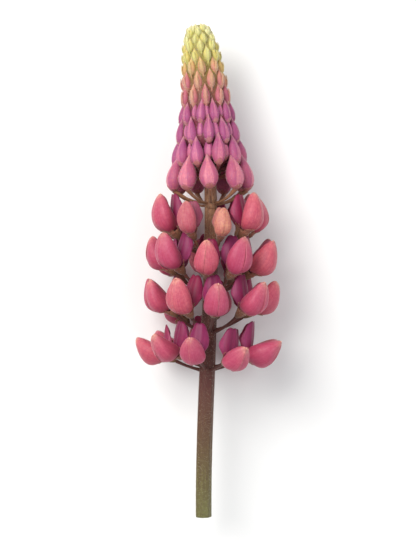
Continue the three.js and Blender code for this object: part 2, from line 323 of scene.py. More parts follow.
def finish_piece(item, nodes):
    """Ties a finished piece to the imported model, and counts its triangles."""
    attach(item, "root")
    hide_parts(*nodes)
    return sum(len(face.vertices) - 2 for face in item.data.polygons)


# %% [markdown]
# ## Node helpers
#
# Shaders and Geometry Nodes are both graphs. A few short helpers keep the building of them readable. One
# adds a node and sets its inputs, and the others name the nodes that come up again and again. What a
# helper gives back as (node, socket) can be handed on as the value of another node's input.


# %% Nodes and groups
def fill(tree, node, inputs):
    """Sets a node's inputs, each by its name or number. A value of (node, socket) makes a link."""
    for key, value in inputs.items():
        if isinstance(value, tuple) and isinstance(value[0], bpy.types.Node):
            tree.links.new(value[0].outputs[value[1]], node.inputs[key])
        else:
            node.inputs[key].default_value = value


def add(tree, kind, inputs=None, **settings):
    """Adds a node with its settings and inputs."""
    node = tree.nodes.new(kind)
    for key, value in settings.items():
        setattr(node, key, value)
    fill(tree, node, inputs or {})
    return node


def new_group(name, kind, inputs, outputs):
    """A node group with named inputs and outputs, and its input node. An input has a number as its
    value, or a word for its kind of socket, and an output has that word."""
    tree = bpy.data.node_groups.new(name, kind)
    for key, value in inputs.items():
        word = value if isinstance(value, str) else type(value).__name__.title()
        socket = tree.interface.new_socket(name=key, in_out="INPUT", socket_type="NodeSocket" + word)
        if word != value:
            socket.default_value = value
    for key, word in outputs.items():
        tree.interface.new_socket(name=key, in_out="OUTPUT", socket_type="NodeSocket" + word)
    print("group:", name, "with", ", ".join(inputs))
    return tree, tree.nodes.new("NodeGroupInput")


# %% Colours and sums
def srgb(red, green, blue):
    """A colour given as on a screen, 0 to 255, as Blender's linear one."""
    screen = np.array([red, green, blue]) / 255
    linear = np.where(screen <= 0.04045, screen / 12.92, ((screen + 0.055) / 1.055) ** 2.4)
    return (*[float(c) for c in linear], 1.0)


def ramp(tree, factor, stops):
    """A colour ramp's colour, as (node, socket). Its stops are (position, colour as on a screen)."""
    node = add(tree, "ShaderNodeValToRGB", {"Fac": factor})
    elements = node.color_ramp.elements
    while len(elements) < len(stops):
        elements.new(0.5)
    for element, (position, colour) in zip(elements, stops):
        element.position = position
        element.color = srgb(*colour)
    return (node, "Color")


def attribute(tree, name):
    """A point attribute's value, as (node, socket)."""
    return (add(tree, "ShaderNodeAttribute", attribute_name=name), "Fac")


def maths(tree, operation, *values, clamp=False):
    """One sum on values, as (node, socket)."""
    node = add(tree, "ShaderNodeMath", dict(enumerate(values)), operation=operation, use_clamp=clamp)
    return (node, "Value")


def smoothed(tree, value, low, high):
    """From 0 at low to 1 at high, gently, as (node, socket)."""
    settings = {"Value": value, "From Min": low, "From Max": high}
    return (add(tree, "ShaderNodeMapRange", settings, interpolation_type="SMOOTHSTEP"), "Result")


def mixed(tree, factor, first, second):
    """Two colours mixed, as (node, socket). A Mix node keeps its colours at 6 and 7, and its result at 2."""
    return (add(tree, "ShaderNodeMix", {0: factor, 6: first, 7: second}, data_type="RGBA"), 2)


print("mid grey is", round(srgb(128, 128, 128)[0], 3), "in linear light")

# %% [markdown]
# ## Shared petal effects
#
# Lupin petals are finely lined from their root to their edge, and their cells scatter light unevenly, so
# the colour is never flat. Both effects serve petals, buds and stalk alike, so each is a small group that
# every material places with its own values.

# %% Streaks that follow the petal
STREAK_INPUTS = {"Along": 0.0, "Across": 0.0, "Lines": 14.0, "Length": 2.0}
streaks, given = new_group("Petal streaks", "ShaderNodeTree", STREAK_INPUTS, {"Streak": "Float"})
line_place = maths(streaks, "MULTIPLY", (given, "Across"), (given, "Lines"))
long_place = maths(streaks, "MULTIPLY", (given, "Along"), (given, "Length"))
spot = add(streaks, "ShaderNodeCombineXYZ", {"X": line_place, "Y": long_place})
grain = add(streaks, "ShaderNodeTexNoise", {"Vector": (spot, "Vector"), "Scale": 1.0, "Detail": 3.0})
spread = add(streaks, "ShaderNodeMapRange", {"Value": (grain, "Fac"), "From Min": 0.3, "From Max": 0.7})
add(streaks, "NodeGroupOutput", {"Streak": (spread, "Result")})

# %% Uneven colour
MOTTLE_INPUTS = {"Color": "Color", "Other": "Color", "Patches": 500.0, "Amount": 0.3}
MOTTLE_OUTPUTS = {"Color": "Color", "Height": "Float"}
mottle, given = new_group("Mottle", "ShaderNodeTree", MOTTLE_INPUTS, MOTTLE_OUTPUTS)
where = add(mottle, "ShaderNodeTexCoord")
clouds = {"Vector": (where, "Object"), "Scale": (given, "Patches"), "Detail": 4.0, "Roughness": 0.6}
cloud = add(mottle, "ShaderNodeTexNoise", clouds)
patch = add(mottle, "ShaderNodeMapRange", {"Value": (cloud, "Fac"), "From Min": 0.35, "From Max": 0.65})
share = maths(mottle, "MULTIPLY", (patch, "Result"), (given, "Amount"))
blended = mixed(mottle, share, (given, "Color"), (given, "Other"))
add(mottle, "NodeGroupOutput", {"Color": blended, "Height": (cloud, "Fac")})

# %% [markdown]
# ## Petal finishes
#
# Every finish has the same build: a base colour that the piece's own attributes choose, lines and
# mottling over it, and a slight relief from both. Petals are thin and let light through, so they get a
# little subsurface scattering and a soft sheen, as velvet has.


# %% One petal finish
PATCHES = 900.0  # patches of uneven colour to a metre
PATCHY = 0.8  # how strong they are, as a share of the lines
LINE_RELIEF = 0.7  # how high the lines stand, as a share of the patches
RELIEF = 0.15  # the greatest relief, in millimetres
SURFACE = {  # what all finishes have in common
    "Sheen Roughness": 0.4,
    "Subsurface Scale": 1.5 * MM,
    "Specular IOR Level": 0.35,
}


def new_material(name):
    """A new material, its tree and its Principled BSDF."""
    material = bpy.data.materials.new(name)
    material.use_nodes = True
    return material, material.node_tree, material.node_tree.nodes["Principled BSDF"]


def finished(name, colour, deeper, lines, length, amount, roughness, sheen=0.0, soft=0.0, relief=0.35):
    """A material whose base colour comes from colour(tree), with lines, mottling and relief over it."""
    material, tree, surface = new_material(name)
    base = colour(tree)
    place = {"Along": attribute(tree, "along"), "Across": attribute(tree, "across")}
    lined = add(tree, "ShaderNodeGroup", {**place, "Lines": lines, "Length": length}, node_tree=streaks)
    striped = mixed(tree, maths(tree, "MULTIPLY", (lined, "Streak"), amount), base, deeper)
    patchy = {"Color": striped, "Other": deeper, "Patches": PATCHES, "Amount": amount * PATCHY}
    uneven = add(tree, "ShaderNodeGroup", patchy, node_tree=mottle)
    height = maths(tree, "MULTIPLY_ADD", (lined, "Streak"), LINE_RELIEF, (uneven, "Height"))
    bump = add(tree, "ShaderNodeBump", {"Height": height, "Strength": relief, "Distance": RELIEF * MM})
    own = {"Roughness": roughness, "Sheen Weight": sheen, "Subsurface Weight": soft}
    fill(tree, surface, {"Base Color": (uneven, "Color"), "Normal": (bump, "Normal"), **own, **SURFACE})
    print("finish:", name)
    return material


# %% Wing petals
def toned(tree, colour, cooler, warmer, much):
    """A colour moved to the cooler or warmer side by the piece's own tone."""
    tone = attribute(tree, "tone")
    cool = mixed(tree, maths(tree, "MULTIPLY", tone, much, clamp=True), colour, cooler)
    return mixed(tree, maths(tree, "MULTIPLY", tone, -much, clamp=True), cool, warmer)


def wing_colour(tree):
    """Deep rose at the root, salmon over the belly, pale peach at the beak and along the seam. The darkening
    towards the root is painted shade, and the lighter band just short of the beak is a painted highlight.
    """
    along = attribute(tree, "along")
    across = attribute(tree, "across")
    # Painted shade at the root, the lower end of each wing, and a painted highlight at 0.88, before the
    # beak's own pale peach.
    stops = [
        (0.0, (112, 28, 48)),
        (0.1, (152, 48, 72)),
        (0.3, (186, 78, 98)),
        (0.7, (200, 98, 116)),
        (0.88, (216, 132, 132)),
        (0.97, (240, 192, 160)),
    ]
    base = ramp(tree, along, stops)
    seam = maths(tree, "POWER", maths(tree, "ABSOLUTE", across), 10.0)
    pale = maths(tree, "MULTIPLY", seam, maths(tree, "MULTIPLY", along, 0.7))
    edged = mixed(tree, pale, base, srgb(240, 178, 168))
    shifted = toned(tree, edged, srgb(168, 66, 108), srgb(208, 112, 114), 0.6)
    return mixed(tree, attribute(tree, "young"), shifted, srgb(212, 162, 122))


VELVET = dict(roughness=0.5, sheen=0.12, soft=0.12)
wing_finish = finished(
    "wing_petal", wing_colour, srgb(160, 42, 76), lines=12, length=1.3, amount=0.6, **VELVET
)


# %% Banner petals
def banner_colour(tree):
    """Deep crimson down the middle and at the root, fading to rose on the sides that fold back."""
    across = maths(tree, "ABSOLUTE", attribute(tree, "across"))
    stops = [
        (0.0, (114, 8, 46)),
        (0.4, (132, 16, 62)),
        (0.75, (160, 46, 94)),
        (1.0, (196, 100, 132)),
    ]
    base = ramp(tree, across, stops)
    past_root = maths(tree, "MULTIPLY", attribute(tree, "along"), 2.5)
    root = maths(tree, "SUBTRACT", 1.0, past_root, clamp=True)
    rooted = mixed(tree, root, base, srgb(104, 16, 40))
    shifted = toned(tree, rooted, srgb(136, 38, 104), srgb(160, 32, 70), 0.5)
    return mixed(tree, attribute(tree, "young"), shifted, srgb(206, 140, 120))


banner_finish = finished(
    "banner_petal", banner_colour, srgb(108, 16, 62), lines=14, length=1.2, amount=0.5, **VELVET
)


# %% Keel
def keel_colour(tree):
    """Pale rose, with a paler beak."""
    stops = [(0.0, (220, 140, 140)), (0.8, (232, 172, 156)), (1.0, (238, 190, 160))]
    return ramp(tree, attribute(tree, "along"), stops)


keel_finish = finished(
    "keel", keel_colour, srgb(200, 110, 120), lines=6, length=1.0, amount=0.2, roughness=0.45
)


# %% Stalk, pedicels and calyces
def by_height(tree, stops, stray=0.0):
    """A ramp along the spike, by millimetres below its tip. A piece's own tone moves it by up to stray."""
    where = add(tree, "ShaderNodeTexCoord")
    split = add(tree, "ShaderNodeSeparateXYZ", {"Vector": (where, "Object")})
    lowest = stops[-1][0]
    reach = {"From Min": TIP_Y * MM, "From Max": (TIP_Y - lowest) * MM}
    share = add(tree, "ShaderNodeMapRange", {"Value": (split, "Y"), **reach})
    moved = maths(tree, "MULTIPLY_ADD", attribute(tree, "tone"), stray / lowest, (share, "Result"))
    return ramp(tree, moved, [(below / lowest, colour) for below, colour in stops])


def stalk_colour(tree):
    """Yellow-green inside the tip, maroon among the buds, olive-brown below them, reddish lower down. Among
    the buds the stem's own reddish colour is darkened as painted shade for the gaps between them.
    """
    stops = [
        (0, (190, 186, 100)),
        (18, (168, 154, 72)),
        # From 30 to 58 mm below the tip the core shows only in the gaps between the buds, and it is darkened
        # there as painted shade over the stem's own reddish colour.
        (30, (140, 88, 64)),
        (40, (122, 44, 64)),
        (58, (118, 36, 60)),
        (68, (146, 78, 66)),
        (76, (184, 134, 98)),
        (92, (168, 116, 86)),
        (108, (130, 74, 62)),
        (124, (104, 54, 46)),
        (158, (96, 48, 40)),
        (182, (104, 80, 52)),
        (200, (112, 104, 60)),
        (216, (122, 124, 72)),
    ]
    return mixed(tree, attribute(tree, "cut"), by_height(tree, stops), srgb(196, 204, 150))


def calyx_colour(tree):
    """Olive-brown with a rosy rim."""
    stops = [(0.0, (112, 80, 54)), (0.5, (142, 94, 68)), (1.0, (172, 96, 88))]
    return ramp(tree, attribute(tree, "along"), stops)


STALK_SKIN = dict(lines=5, length=9.0, amount=0.5, roughness=0.55, sheen=0.1, relief=0.5)
CALYX_SKIN = dict(lines=6, length=2.0, amount=0.4, roughness=0.6, sheen=0.2, relief=0.4)
stalk_finish = finished("stalk", stalk_colour, srgb(64, 34, 30), **STALK_SKIN)
calyx_finish = finished("calyx", calyx_colour, srgb(92, 62, 44), **CALYX_SKIN)


# %% Buds
# The colours of the buds at some distances below the tip: of the strip on a bud's outer face, of its
# flanks, and of its calyx. Petals colour as they grow, so the green of the tip warms to peach and mauve.
BUD_AGES = [
    (0, (248, 245, 226), (236, 230, 188), (230, 226, 180)),
    (6, (240, 235, 178), (212, 204, 122), (220, 212, 140)),
    (17, (234, 220, 136), (206, 184, 102), (208, 196, 114)),
    (24, (228, 182, 144), (202, 144, 118), (206, 170, 122)),
    (30, (216, 152, 144), (184, 104, 118), (198, 146, 124)),
    (36, (206, 126, 138), (172, 88, 116), (194, 134, 120)),
    (43, (198, 114, 138), (162, 80, 116), (190, 126, 116)),
    (52, (196, 110, 138), (160, 78, 116), (186, 122, 106)),
    (58, (206, 116, 136), (172, 86, 114), (182, 118, 96)),
    (64, (218, 128, 138), (184, 94, 112), (182, 116, 90)),
    (76, (220, 134, 140), (188, 98, 114), (174, 110, 84)),
]
STRAY = 5.0  # how far, in millimetres, one bud may be ahead of its neighbours


def bud_colour(tree):
    """A bud's colour, by its age and by which part of it this is."""
    ages = [[(below, row[part]) for below, *row in BUD_AGES] for part in range(3)]
    strip, flank, calyx = (by_height(tree, stops, STRAY) for stops in ages)
    petals = mixed(tree, attribute(tree, "strip"), flank, strip)
    along = attribute(tree, "along")
    tip = maths(tree, "MULTIPLY", smoothed(tree, along, 0.7, 1.0), 0.5)
    pale = mixed(tree, tip, petals, srgb(236, 186, 160))
    rim = smoothed(tree, along, 0.6, 1.0)
    cup = mixed(tree, maths(tree, "MULTIPLY", rim, 0.75), calyx, petals)
    return mixed(tree, attribute(tree, "cover"), pale, cup)


BUD_SKIN = dict(lines=8, length=2.0, amount=0.4, roughness=0.5, sheen=0.12, soft=0.1)
BUD_DEEPER = {
    "buds_mauve": srgb(140, 52, 116),
    "buds_blush": srgb(176, 98, 92),
    "buds_green": srgb(184, 176, 96),
}
bud_finishes = {name: finished(name, bud_colour, deeper, **BUD_SKIN) for name, deeper in BUD_DEEPER.items()}

# %% [markdown]
# ## How an open floret is laid out
#
# A lupin floret is a pea flower. Its pedicel leaves the stalk and swells into a calyx, two wing petals
# close over the keel like the halves of a shell, and the banner stands up behind them with its sides
# folded back. The angles below are those of each whorl: the older florets hang out further and open wider.

# %% Whorls
WHORL_COUNT = 9
WHORLS = [
    dict(name="upper", below=101.5, phase=78, pedicel=13.5, leave=16, arrive=46, wing=62, open=31, puff=0.9),
    dict(name="second", below=118.5, phase=58, pedicel=13.5, leave=18, arrive=42, wing=45, open=47, puff=1.0),
    dict(name="third", below=135, phase=80, pedicel=13.5, leave=16, arrive=38, wing=38, open=55, puff=1.0),
    dict(name="lowest", below=150.5, phase=62, pedicel=10.5, leave=10, arrive=26, wing=16, open=70, puff=1.0),
]
# How far one floret may differ from the next. Pedicel and size are shares of the whole.
VARY = dict(azimuth=3.5, rise=1.2, pedicel=0.06, arrive=3, wing=5, open=4, size=0.06)
YOUNG = {0: (0.8, 0.85), 1: (0.92, 0.25)}  # new florets' share of full size, and of a bud's colour
ROLL = 9.0  # how far a floret may be turned about its own length, in degrees
SINK = 0.9  # how deep a pedicel goes into the stalk
PETAL_GAP = 0.45  # clearance from a calyx's middle to its petals
CALYX_LENGTH = 4.6
CALYX_RADIUS = 2.3
PATH_STEPS = 12
SIDE = np.array([0.0, 0.0, 1.0])  # a floret's own axes are out, along and side


def floret_traits(w, j):
    """What sets floret j of whorl w apart from the others."""
    whorl = WHORLS[w]
    piece = w * WHORL_COUNT + j
    grown_share, young = YOUNG.get(piece, (1.0, 0.0))
    return {
        "piece": piece,
        "below": whorl["below"],
        "azimuth": whorl["phase"] + 360 / WHORL_COUNT * j + VARY["azimuth"] * draw(piece, 1),
        "rise": VARY["rise"] * draw(piece, 2),
        "stalk": stalk_radius(whorl["below"]),
        "pedicel": whorl["pedicel"] * (1 + VARY["pedicel"] * draw(piece, 3)),
        "leave": whorl["leave"],
        "arrive": whorl["arrive"] + VARY["arrive"] * draw(piece, 4),
        "wing": whorl["wing"] + VARY["wing"] * draw(piece, 5),
        "open": whorl["open"] + VARY["open"] * draw(piece, 6),
        "size": (1 + VARY["size"] * draw(piece, 7)) * grown_share,
        "puff": whorl["puff"],
        "young": young,
    }


print(WHORL_COUNT * len(WHORLS), "open florets")


# %% Where a floret's parts are
def ray(degrees):
    """The direction at an angle up from out, towards the tip."""
    a = np.radians(np.asarray(degrees, float))
    return np.stack([np.cos(a), np.sin(a), np.zeros_like(a)], -1)


def on_line(start, angle, along, high, wide):
    """A point on the line that leaves start at an angle, or so high and wide of it."""
    forward = ray(angle) * along[:, None]
    return start + forward + ray(angle + 90) * high[:, None] + SIDE * wide[:, None]


def floret_place(traits):
    """Where a floret's root frame is on the spike."""
    origin, rows = frame_at(traits["below"], traits["azimuth"])
    return origin + traits["rise"] * rows[1], rows


def pedicel_path(traits, t):
    """Where the pedicel's middle line is at t, from 0 inside the stalk to 1 at the calyx."""
    point = np.array([traits["stalk"] - SINK, 0.0, 0.0])
    for i in range(PATH_STEPS):
        angle = traits["leave"] + (traits["arrive"] - traits["leave"]) * t * (i + 0.5) / PATH_STEPS
        point = point + ray(angle) * t * (traits["pedicel"] + SINK) / PATH_STEPS
    return point


def mouth(traits):
    """Where the petals begin, at the calyx's mouth."""
    past = CALYX_LENGTH * traits["size"] + PETAL_GAP
    return pedicel_path(traits, 1) + ray(traits["arrive"]) * past


def rolled(points, traits):
    """A floret's petals, turned about its own length."""
    angle = math.radians(ROLL) * draw(traits["piece"], 13)
    turn = Matrix.Rotation(angle, 3, Vector(ray(traits["wing"])))
    return mouth(traits) + (points - mouth(traits)) @ np.array(turn).T


print("the first floret's petals begin", mouth(floret_traits(0, 0)).round(1), "from the stalk's middle")

# %% [markdown]
# ## The wing petals
#
# Closed over the keel, the two wings make a small boat: a full belly near the calyx, a seam above and
# below, and a beak that turns up. Each wing is a shell on one half of that boat. They part a little at
# the root of the upper seam, where the keel shows, and meet in a fine raised lip below. Each surface gets
# its own slight dents, and each floret is turned a little about its own length.

# %% The boat that both wings follow
WING_LENGTH = 15.8
WING_HEIGHT = 9.6
WING_WIDTH = 10.5
WING_BELLY = 1.6  # how far the wings' middle line hangs, and how far it turns up at their point
WING_UPTURN = 2.6
WING_FULLEST = 0.42  # how far along the wings are fullest
WING_BLUNT = 0.58  # how blunt both their ends are: 1 for a point, and less for a rounder end
GROOVE = 0.1  # the groove along the upper seam: its depth, as a share of the height, and width in radians
GROOVE_WIDTH = 0.3


def middle_line(t, belly=1.0):
    """How high the wings' middle line is at t, from its hanging belly to its upturned point."""
    return WING_UPTURN * t**2 - belly * WING_BELLY * np.sin(np.pi * np.clip(t, 0, 1))


def boat(traits, t, turn, clear=0.0):
    """A point on the boat: t along it, and turn round it, 0 at the upper seam and pi at the lower."""
    size = traits["size"]
    t = np.clip(t, 1e-4, 1 - 1e-4)
    swell = roundness(t, WING_FULLEST) ** WING_BLUNT * traits["puff"]
    seam = 1 - GROOVE * peak(turn, 0, GROOVE_WIDTH)
    high = (middle_line(t) + np.cos(turn) * seam * WING_HEIGHT / 2 * swell) * size
    high = high + np.cos(turn) * clear
    wide = np.sin(turn) * (WING_WIDTH / 2 * swell * size + clear)
    return on_line(mouth(traits), traits["wing"], WING_LENGTH * size * t, high, wide)


print("the boat is", WING_LENGTH, "long,", WING_HEIGHT, "high and", WING_WIDTH, "wide")

# %% One wing
PETAL = 0.35  # a petal's thickness
# Each of these forms has its size in millimetres, and its place and width as a share of the wing's
# length where they lie along it, and in radians where they lie round it.
OPENING = 0.9  # how far the wings part at the root of the upper seam
OPENING_WIDTH = 0.5
OPENING_ENDS = (0.15, 0.6)
DENT = 0.4
DENTS_ROUND = 2.6
DENTS_ALONG = 5.0
POCKET = 0.55  # the pocket near each wing's root
POCKET_ROUND = (0.9, 0.35)
POCKET_ALONG = (0.22, 0.16)
LIP = 0.2  # how far the edges stand out where the two wings meet
LIP_WIDTH = 0.12
LIP_STARTS = (0.1, 0.4)


def wing(traits, side):
    """One wing petal, on the side +1 or -1."""
    piece = traits["piece"] + 0.5 * side

    def at(v, h):
        v = crowded(v)
        turn = np.pi * crowded((h + 1) / 2)
        lumps = np.sin(DENTS_ROUND * turn + 3 * draw(piece, 11))
        lumps = lumps * np.sin(DENTS_ALONG * v + 3 * draw(piece, 12))
        pocket = peak(turn, *POCKET_ROUND) * peak(v, *POCKET_ALONG)
        lip = peak(turn, np.pi, LIP_WIDTH) * smooth(v, *LIP_STARTS)
        points = boat(traits, v, turn)
        outward = boat(traits, v, turn, clear=1.0) - points
        points = points + outward * (LIP * lip - DENT * lumps - POCKET * pocket)[:, None]
        apart = OPENING * peak(turn, 0, OPENING_WIDTH) * (1 - smooth(v, *OPENING_ENDS))
        points[:, 2] = (np.maximum(points[:, 2], 0) + apart) * side
        return points

    # It starts and ends just short of the boat's ends, where a ring has no width.
    made = shell(at, 22, 18, PETAL, first=0.02, last=0.995)
    made["across"] = np.abs(made["across"])
    return made


print("a wing has", len(wing(floret_traits(0, 0), 1)["points"]), "points")

# %% The keel
KEEL_RADIUS = 1.3
KEEL_HIGH = 1.3  # its height and breadth, as shares of that radius
KEEL_BROAD = 0.75
KEEL_ROOT = 0.06  # where it begins, and how far on it ends, as shares of the wings' length
KEEL_REACH = 0.95
KEEL_RISE = 0.35  # how far its beak turns up between the wings
KEEL_BELLY = 0.7  # its belly, as a share of theirs
KEEL_SWELL = (0.12, 0.86)  # where on a half turn its outline begins, and how far on it ends


def keel(traits):
    """The slender keel inside the wings, whose beak just shows between their tips."""

    def ring_at(s, turn):
        t = KEEL_ROOT + KEEL_REACH * s
        swell = np.sin(np.pi * np.clip(KEEL_SWELL[0] + KEEL_SWELL[1] * s, 0, 1)) ** 0.6
        size = traits["size"]
        middle = (middle_line(t, KEEL_BELLY) + KEEL_RISE * s**3) * size
        high = middle + np.cos(turn) * KEEL_RADIUS * swell * KEEL_HIGH
        wide = -np.sin(turn) * KEEL_RADIUS * KEEL_BROAD * swell
        return on_line(mouth(traits), traits["wing"], WING_LENGTH * size * t, high, wide)

    return tube(ring_at, 12, 8)


print("a keel has", len(keel(floret_traits(0, 0))["points"]), "points")

# %% [markdown]
# ## The banner petal
#
# The banner is one broad petal. A crease runs up its middle, its sides fold back behind it, its rim
# ripples, and a narrow claw ties it to the calyx. Its middle is the deepest colour on the whole spike.

# %% The banner
BANNER_SET = 1.8  # how far along the wings the banner leaves them
BANNER_SUNK = 0.6  # how far from their middle line it starts
BANNER_LENGTH = 13.6
BANNER_HALF_WIDTH = 6.0
BANNER_FOLD = 73.0  # how far each side turns back
BANNER_CURL = 14.0  # how far the tip turns back
BANNER_ROUND = (0.05, 0.2)  # how much less its sides reach, by the square and fourth power of their place
BANNER_FOOT = 0.2  # its width at the claw, as a share of the greatest
BANNER_WIDENS = (0.08, 0.75)  # where on a half turn its outline begins, and how far on it ends
CLAW = 0.25  # the claw's length, as a share of the banner's
CLAW_SLIMS = 0.6  # how much it narrows to its root
CLAW_ROOT = (1.2, 0.9)  # how deep in the calyx that root is, and how high
NOTCH = 0.05  # the notch at the tip: its depth, as a share of the banner's length, and its width
NOTCH_WIDTH = 0.14
CREASE = 0.45
CREASE_WIDTH = 0.13
RIPPLE = 0.4
RIPPLES = 9.0


def banner(traits):
    """The banner petal."""
    piece = traits["piece"]
    size = traits["size"]
    forward, upward = ray(traits["wing"]), ray(traits["wing"] + 90)
    start = mouth(traits) + forward * BANNER_SET + upward * BANNER_SUNK
    deep, high = CLAW_ROOT
    root = mouth(traits) - ray(traits["arrive"]) * deep + ray(traits["arrive"] + 90) * high
    heading = traits["wing"] + traits["open"]

    def at(v, h):
        grown = np.clip(v, 0, 1)
        notch = 1 - NOTCH * peak(h, 0, NOTCH_WIDTH) * grown**4
        blunt = 1 - BANNER_ROUND[0] * h**2 - BANNER_ROUND[1] * h**4
        reach = grown * blunt * notch * BANNER_LENGTH * size
        back = np.clip(-v / CLAW, 0, 1)[:, None]
        spine = start * (1 - back) + root * back + ray(heading + BANNER_CURL / 2 * v) * reach[:, None]
        widening = np.sin(np.pi * (BANNER_WIDENS[0] + BANNER_WIDENS[1] * grown)) ** 0.8
        outline = BANNER_FOOT + (1 - BANNER_FOOT) * widening
        arc = BANNER_HALF_WIDTH * size * outline * np.abs(h) * (1 - CLAW_SLIMS * back[:, 0])
        turn = np.maximum(np.radians(BANNER_FOLD) * np.abs(h), 1e-6)
        wave = RIPPLE * np.abs(h) ** 3 * np.sin(RIPPLES * v + 4 * draw(piece, 21) + h)
        crease = CREASE * peak(h, 0, CREASE_WIDTH) * np.sin(np.pi * grown) ** 0.5
        depth = arc * (1 - np.cos(turn)) / turn + wave + crease
        wide = np.sign(h) * arc * np.sin(turn) / turn
        return spine + SIDE * wide[:, None] + ray(heading + BANNER_CURL * v + 90) * depth[:, None]

    made = shell(at, 18, 20, PETAL, first=-CLAW)
    made["along"] = np.clip(made["along"], 0, 1)
    return made


print("a banner has", len(banner(floret_traits(0, 0))["points"]), "points")


# %% [markdown]
# ## Florets that bear on the surface
#
# A spike that lies down rests on the florets under it. Their pedicels give until the wings touch, and the
# petals flatten a little where they touch. The same rule as in the model finds how far each one gives.


# %% Settle the lowest florets
UNDERSIDE = 0.8  # the downward share of a floret's direction past which it gives at its root
SAG = 13.0  # how far such a floret may hang out, and how far the surface may lift it, in degrees
LIFT = 30.0
BEARING = 0.5  # how much of its roundness it loses where it bears on the surface
SEAM = 0.84  # the share of their height that the model's wings keep along the seam on top
HALVINGS = 16


def lifted(traits, by):
    """The same floret, turned up at its root by some degrees."""
    return {**traits, **{key: traits[key] + by for key in ("leave", "arrive", "wing")}}


def lowest_point(traits):
    """How low the wings reach, measured on the model's own coarse rings."""
    ring, spoke = np.meshgrid(np.pi * np.arange(1, 5) / 5, np.pi * np.arange(8) / 4)
    t = (1 - np.cos(ring.ravel())) / 2
    x, z = -np.cos(spoke.ravel()), np.sin(spoke.ravel())
    swell = roundness(t, WING_FULLEST) ** WING_BLUNT * traits["puff"]
    seam = np.where(x > 0.9, SEAM, 1)
    size = traits["size"]
    high = (middle_line(t) + x * seam * WING_HEIGHT / 2 * swell) * size
    wide = z * WING_WIDTH / 2 * swell * size
    points = on_line(mouth(traits), traits["wing"], WING_LENGTH * size * t, high, wide)
    return placed(points, floret_place(traits))[:, 2].min()


def settled(traits):
    """A floret on the underside gives until its wings bear on the surface, or as far as it can."""
    if -math.sin(math.radians(traits["azimuth"])) < UNDERSIDE:
        return traits
    low, high = -SAG, LIFT
    for _ in range(HALVINGS):
        middle = (low + high) / 2
        if lowest_point(lifted(traits, middle)) < -BEARING:
            low = middle
        else:
            high = middle
    return lifted(traits, high)


print("the surface lifts a floret by at most", LIFT, "degrees")


# %% Press what touches the surface flat
PRESSED_BELOW = 3.0  # how near the surface a petal starts to flatten, and how softly
SOFTNESS = 0.3


def rest_on_surface(points):
    """Presses what would pass through the surface gently flat on it."""
    z = points[:, 2]
    pressed = (z + np.sqrt(z * z + SOFTNESS * SOFTNESS)) / 2
    points[:, 2] = np.where(z < PRESSED_BELOW, pressed, z)
    return points


# %% Make the florets
petal_finishes = [wing_finish, banner_finish, keel_finish]
florets = []
triangles = 0
for w, whorl in enumerate(WHORLS):
    for j in range(WHORL_COUNT):
        traits = settled(floret_traits(w, j))
        florets.append(traits)
        parts = [(wing(traits, 1), 0), (wing(traits, -1), 0), (keel(traits), 2), (banner(traits), 1)]
        for part, _ in parts:
            part["points"] = rest_on_surface(placed(rolled(part["points"], traits), floret_place(traits)))
        name = f"{whorl['name']}_floret_{j + 1}"
        marks = {"tone": draw(traits["piece"], 31), "young": traits["young"]}
        item = add_object(make_mesh(name + "_petals", parts, petal_finishes, marks))
        triangles += finish_piece(item, [name])
print(len(florets), "florets,", triangles, "triangles")

# %% [markdown]
# ## Geometry Nodes for what repeats
#
# Pedicels follow paths, buds repeat in whorls, and the whole young spike is clothed in fine down. Each of
# these follows a rule, so each is a small tree with named inputs: one sweeps a round section along
# paths, one puts copies on points, and one scatters hairs over a surface. A last helper runs a tree on an
# object and keeps the result as a plain mesh.


# %% Run a tree
def grown(name, carrier_mesh, tree, **values):
    """The plain mesh that a tree makes from a mesh, as a new object."""
    carrier = add_object(carrier_mesh)
    modifier = carrier.modifiers.new("grow", "NODES")
    modifier.node_group = tree
    for socket in tree.interface.items_tree:
        key = socket.name.lower()
        if socket.in_out == "INPUT" and key in values:
            modifier[socket.identifier] = values[key]
    graph = bpy.context.evaluated_depsgraph_get()
    result = bpy.data.meshes.new_from_object(carrier.evaluated_get(graph), depsgraph=graph)
    carrier.modifiers.remove(modifier)
    bpy.data.objects.remove(carrier)
    result.name = name
    return add_object(result, name)


# %% What every tree has
def new_tree(name, inputs):
    """A Geometry Nodes tree with a mesh in and a mesh out, and its input node."""
    inputs = {"Geometry": "Geometry", **inputs, "Material": "Material"}
    return new_group(name, "GeometryNodeTree", inputs, {"Geometry": "Geometry"})


def named(tree, name, kind="FLOAT"):
    """The value of a point attribute in Geometry Nodes, as (node, socket)."""
    return (add(tree, "GeometryNodeInputNamedAttribute", {"Name": name}, data_type=kind), "Attribute")


def random_value(tree, given, low, high):
    """A seeded random number for each copy, as (node, socket). The node keeps its limits at 2 and 3."""
    limits = {2: low, 3: high, "Seed": (given, "Seed")}
    return (add(tree, "FunctionNodeRandomValue", limits, data_type="FLOAT"), 1)


def end_tree(tree, given, geometry):
    """Ends a tree in Realize Instances and Set Material."""
    real = add(tree, "GeometryNodeRealizeInstances", {"Geometry": geometry})
    smooth_all = add(tree, "GeometryNodeSetShadeSmooth", {"Geometry": (real, "Geometry")})
    paint = {"Geometry": (smooth_all, "Geometry"), "Material": (given, "Material")}
    painted = add(tree, "GeometryNodeSetMaterial", paint)
    add(tree, "NodeGroupOutput", {"Geometry": (painted, "Geometry")})


# %% A tree that sweeps rods along paths
rods_tree, given = new_tree("Rods along paths", {"Sides": 8})
paths = add(rods_tree, "GeometryNodeMeshToCurve", {"Mesh": (given, "Geometry")})
section = add(rods_tree, "GeometryNodeCurvePrimitiveCircle", {"Resolution": (given, "Sides"), "Radius": 1.0})
swept_inputs = {"Curve": (paths, "Curve"), "Profile Curve": (section, "Curve"), "Fill Caps": True}
swept = add(rods_tree, "GeometryNodeCurveToMesh", {**swept_inputs, "Scale": named(rods_tree, "radius")})
end_tree(rods_tree, given, (swept, "Mesh"))

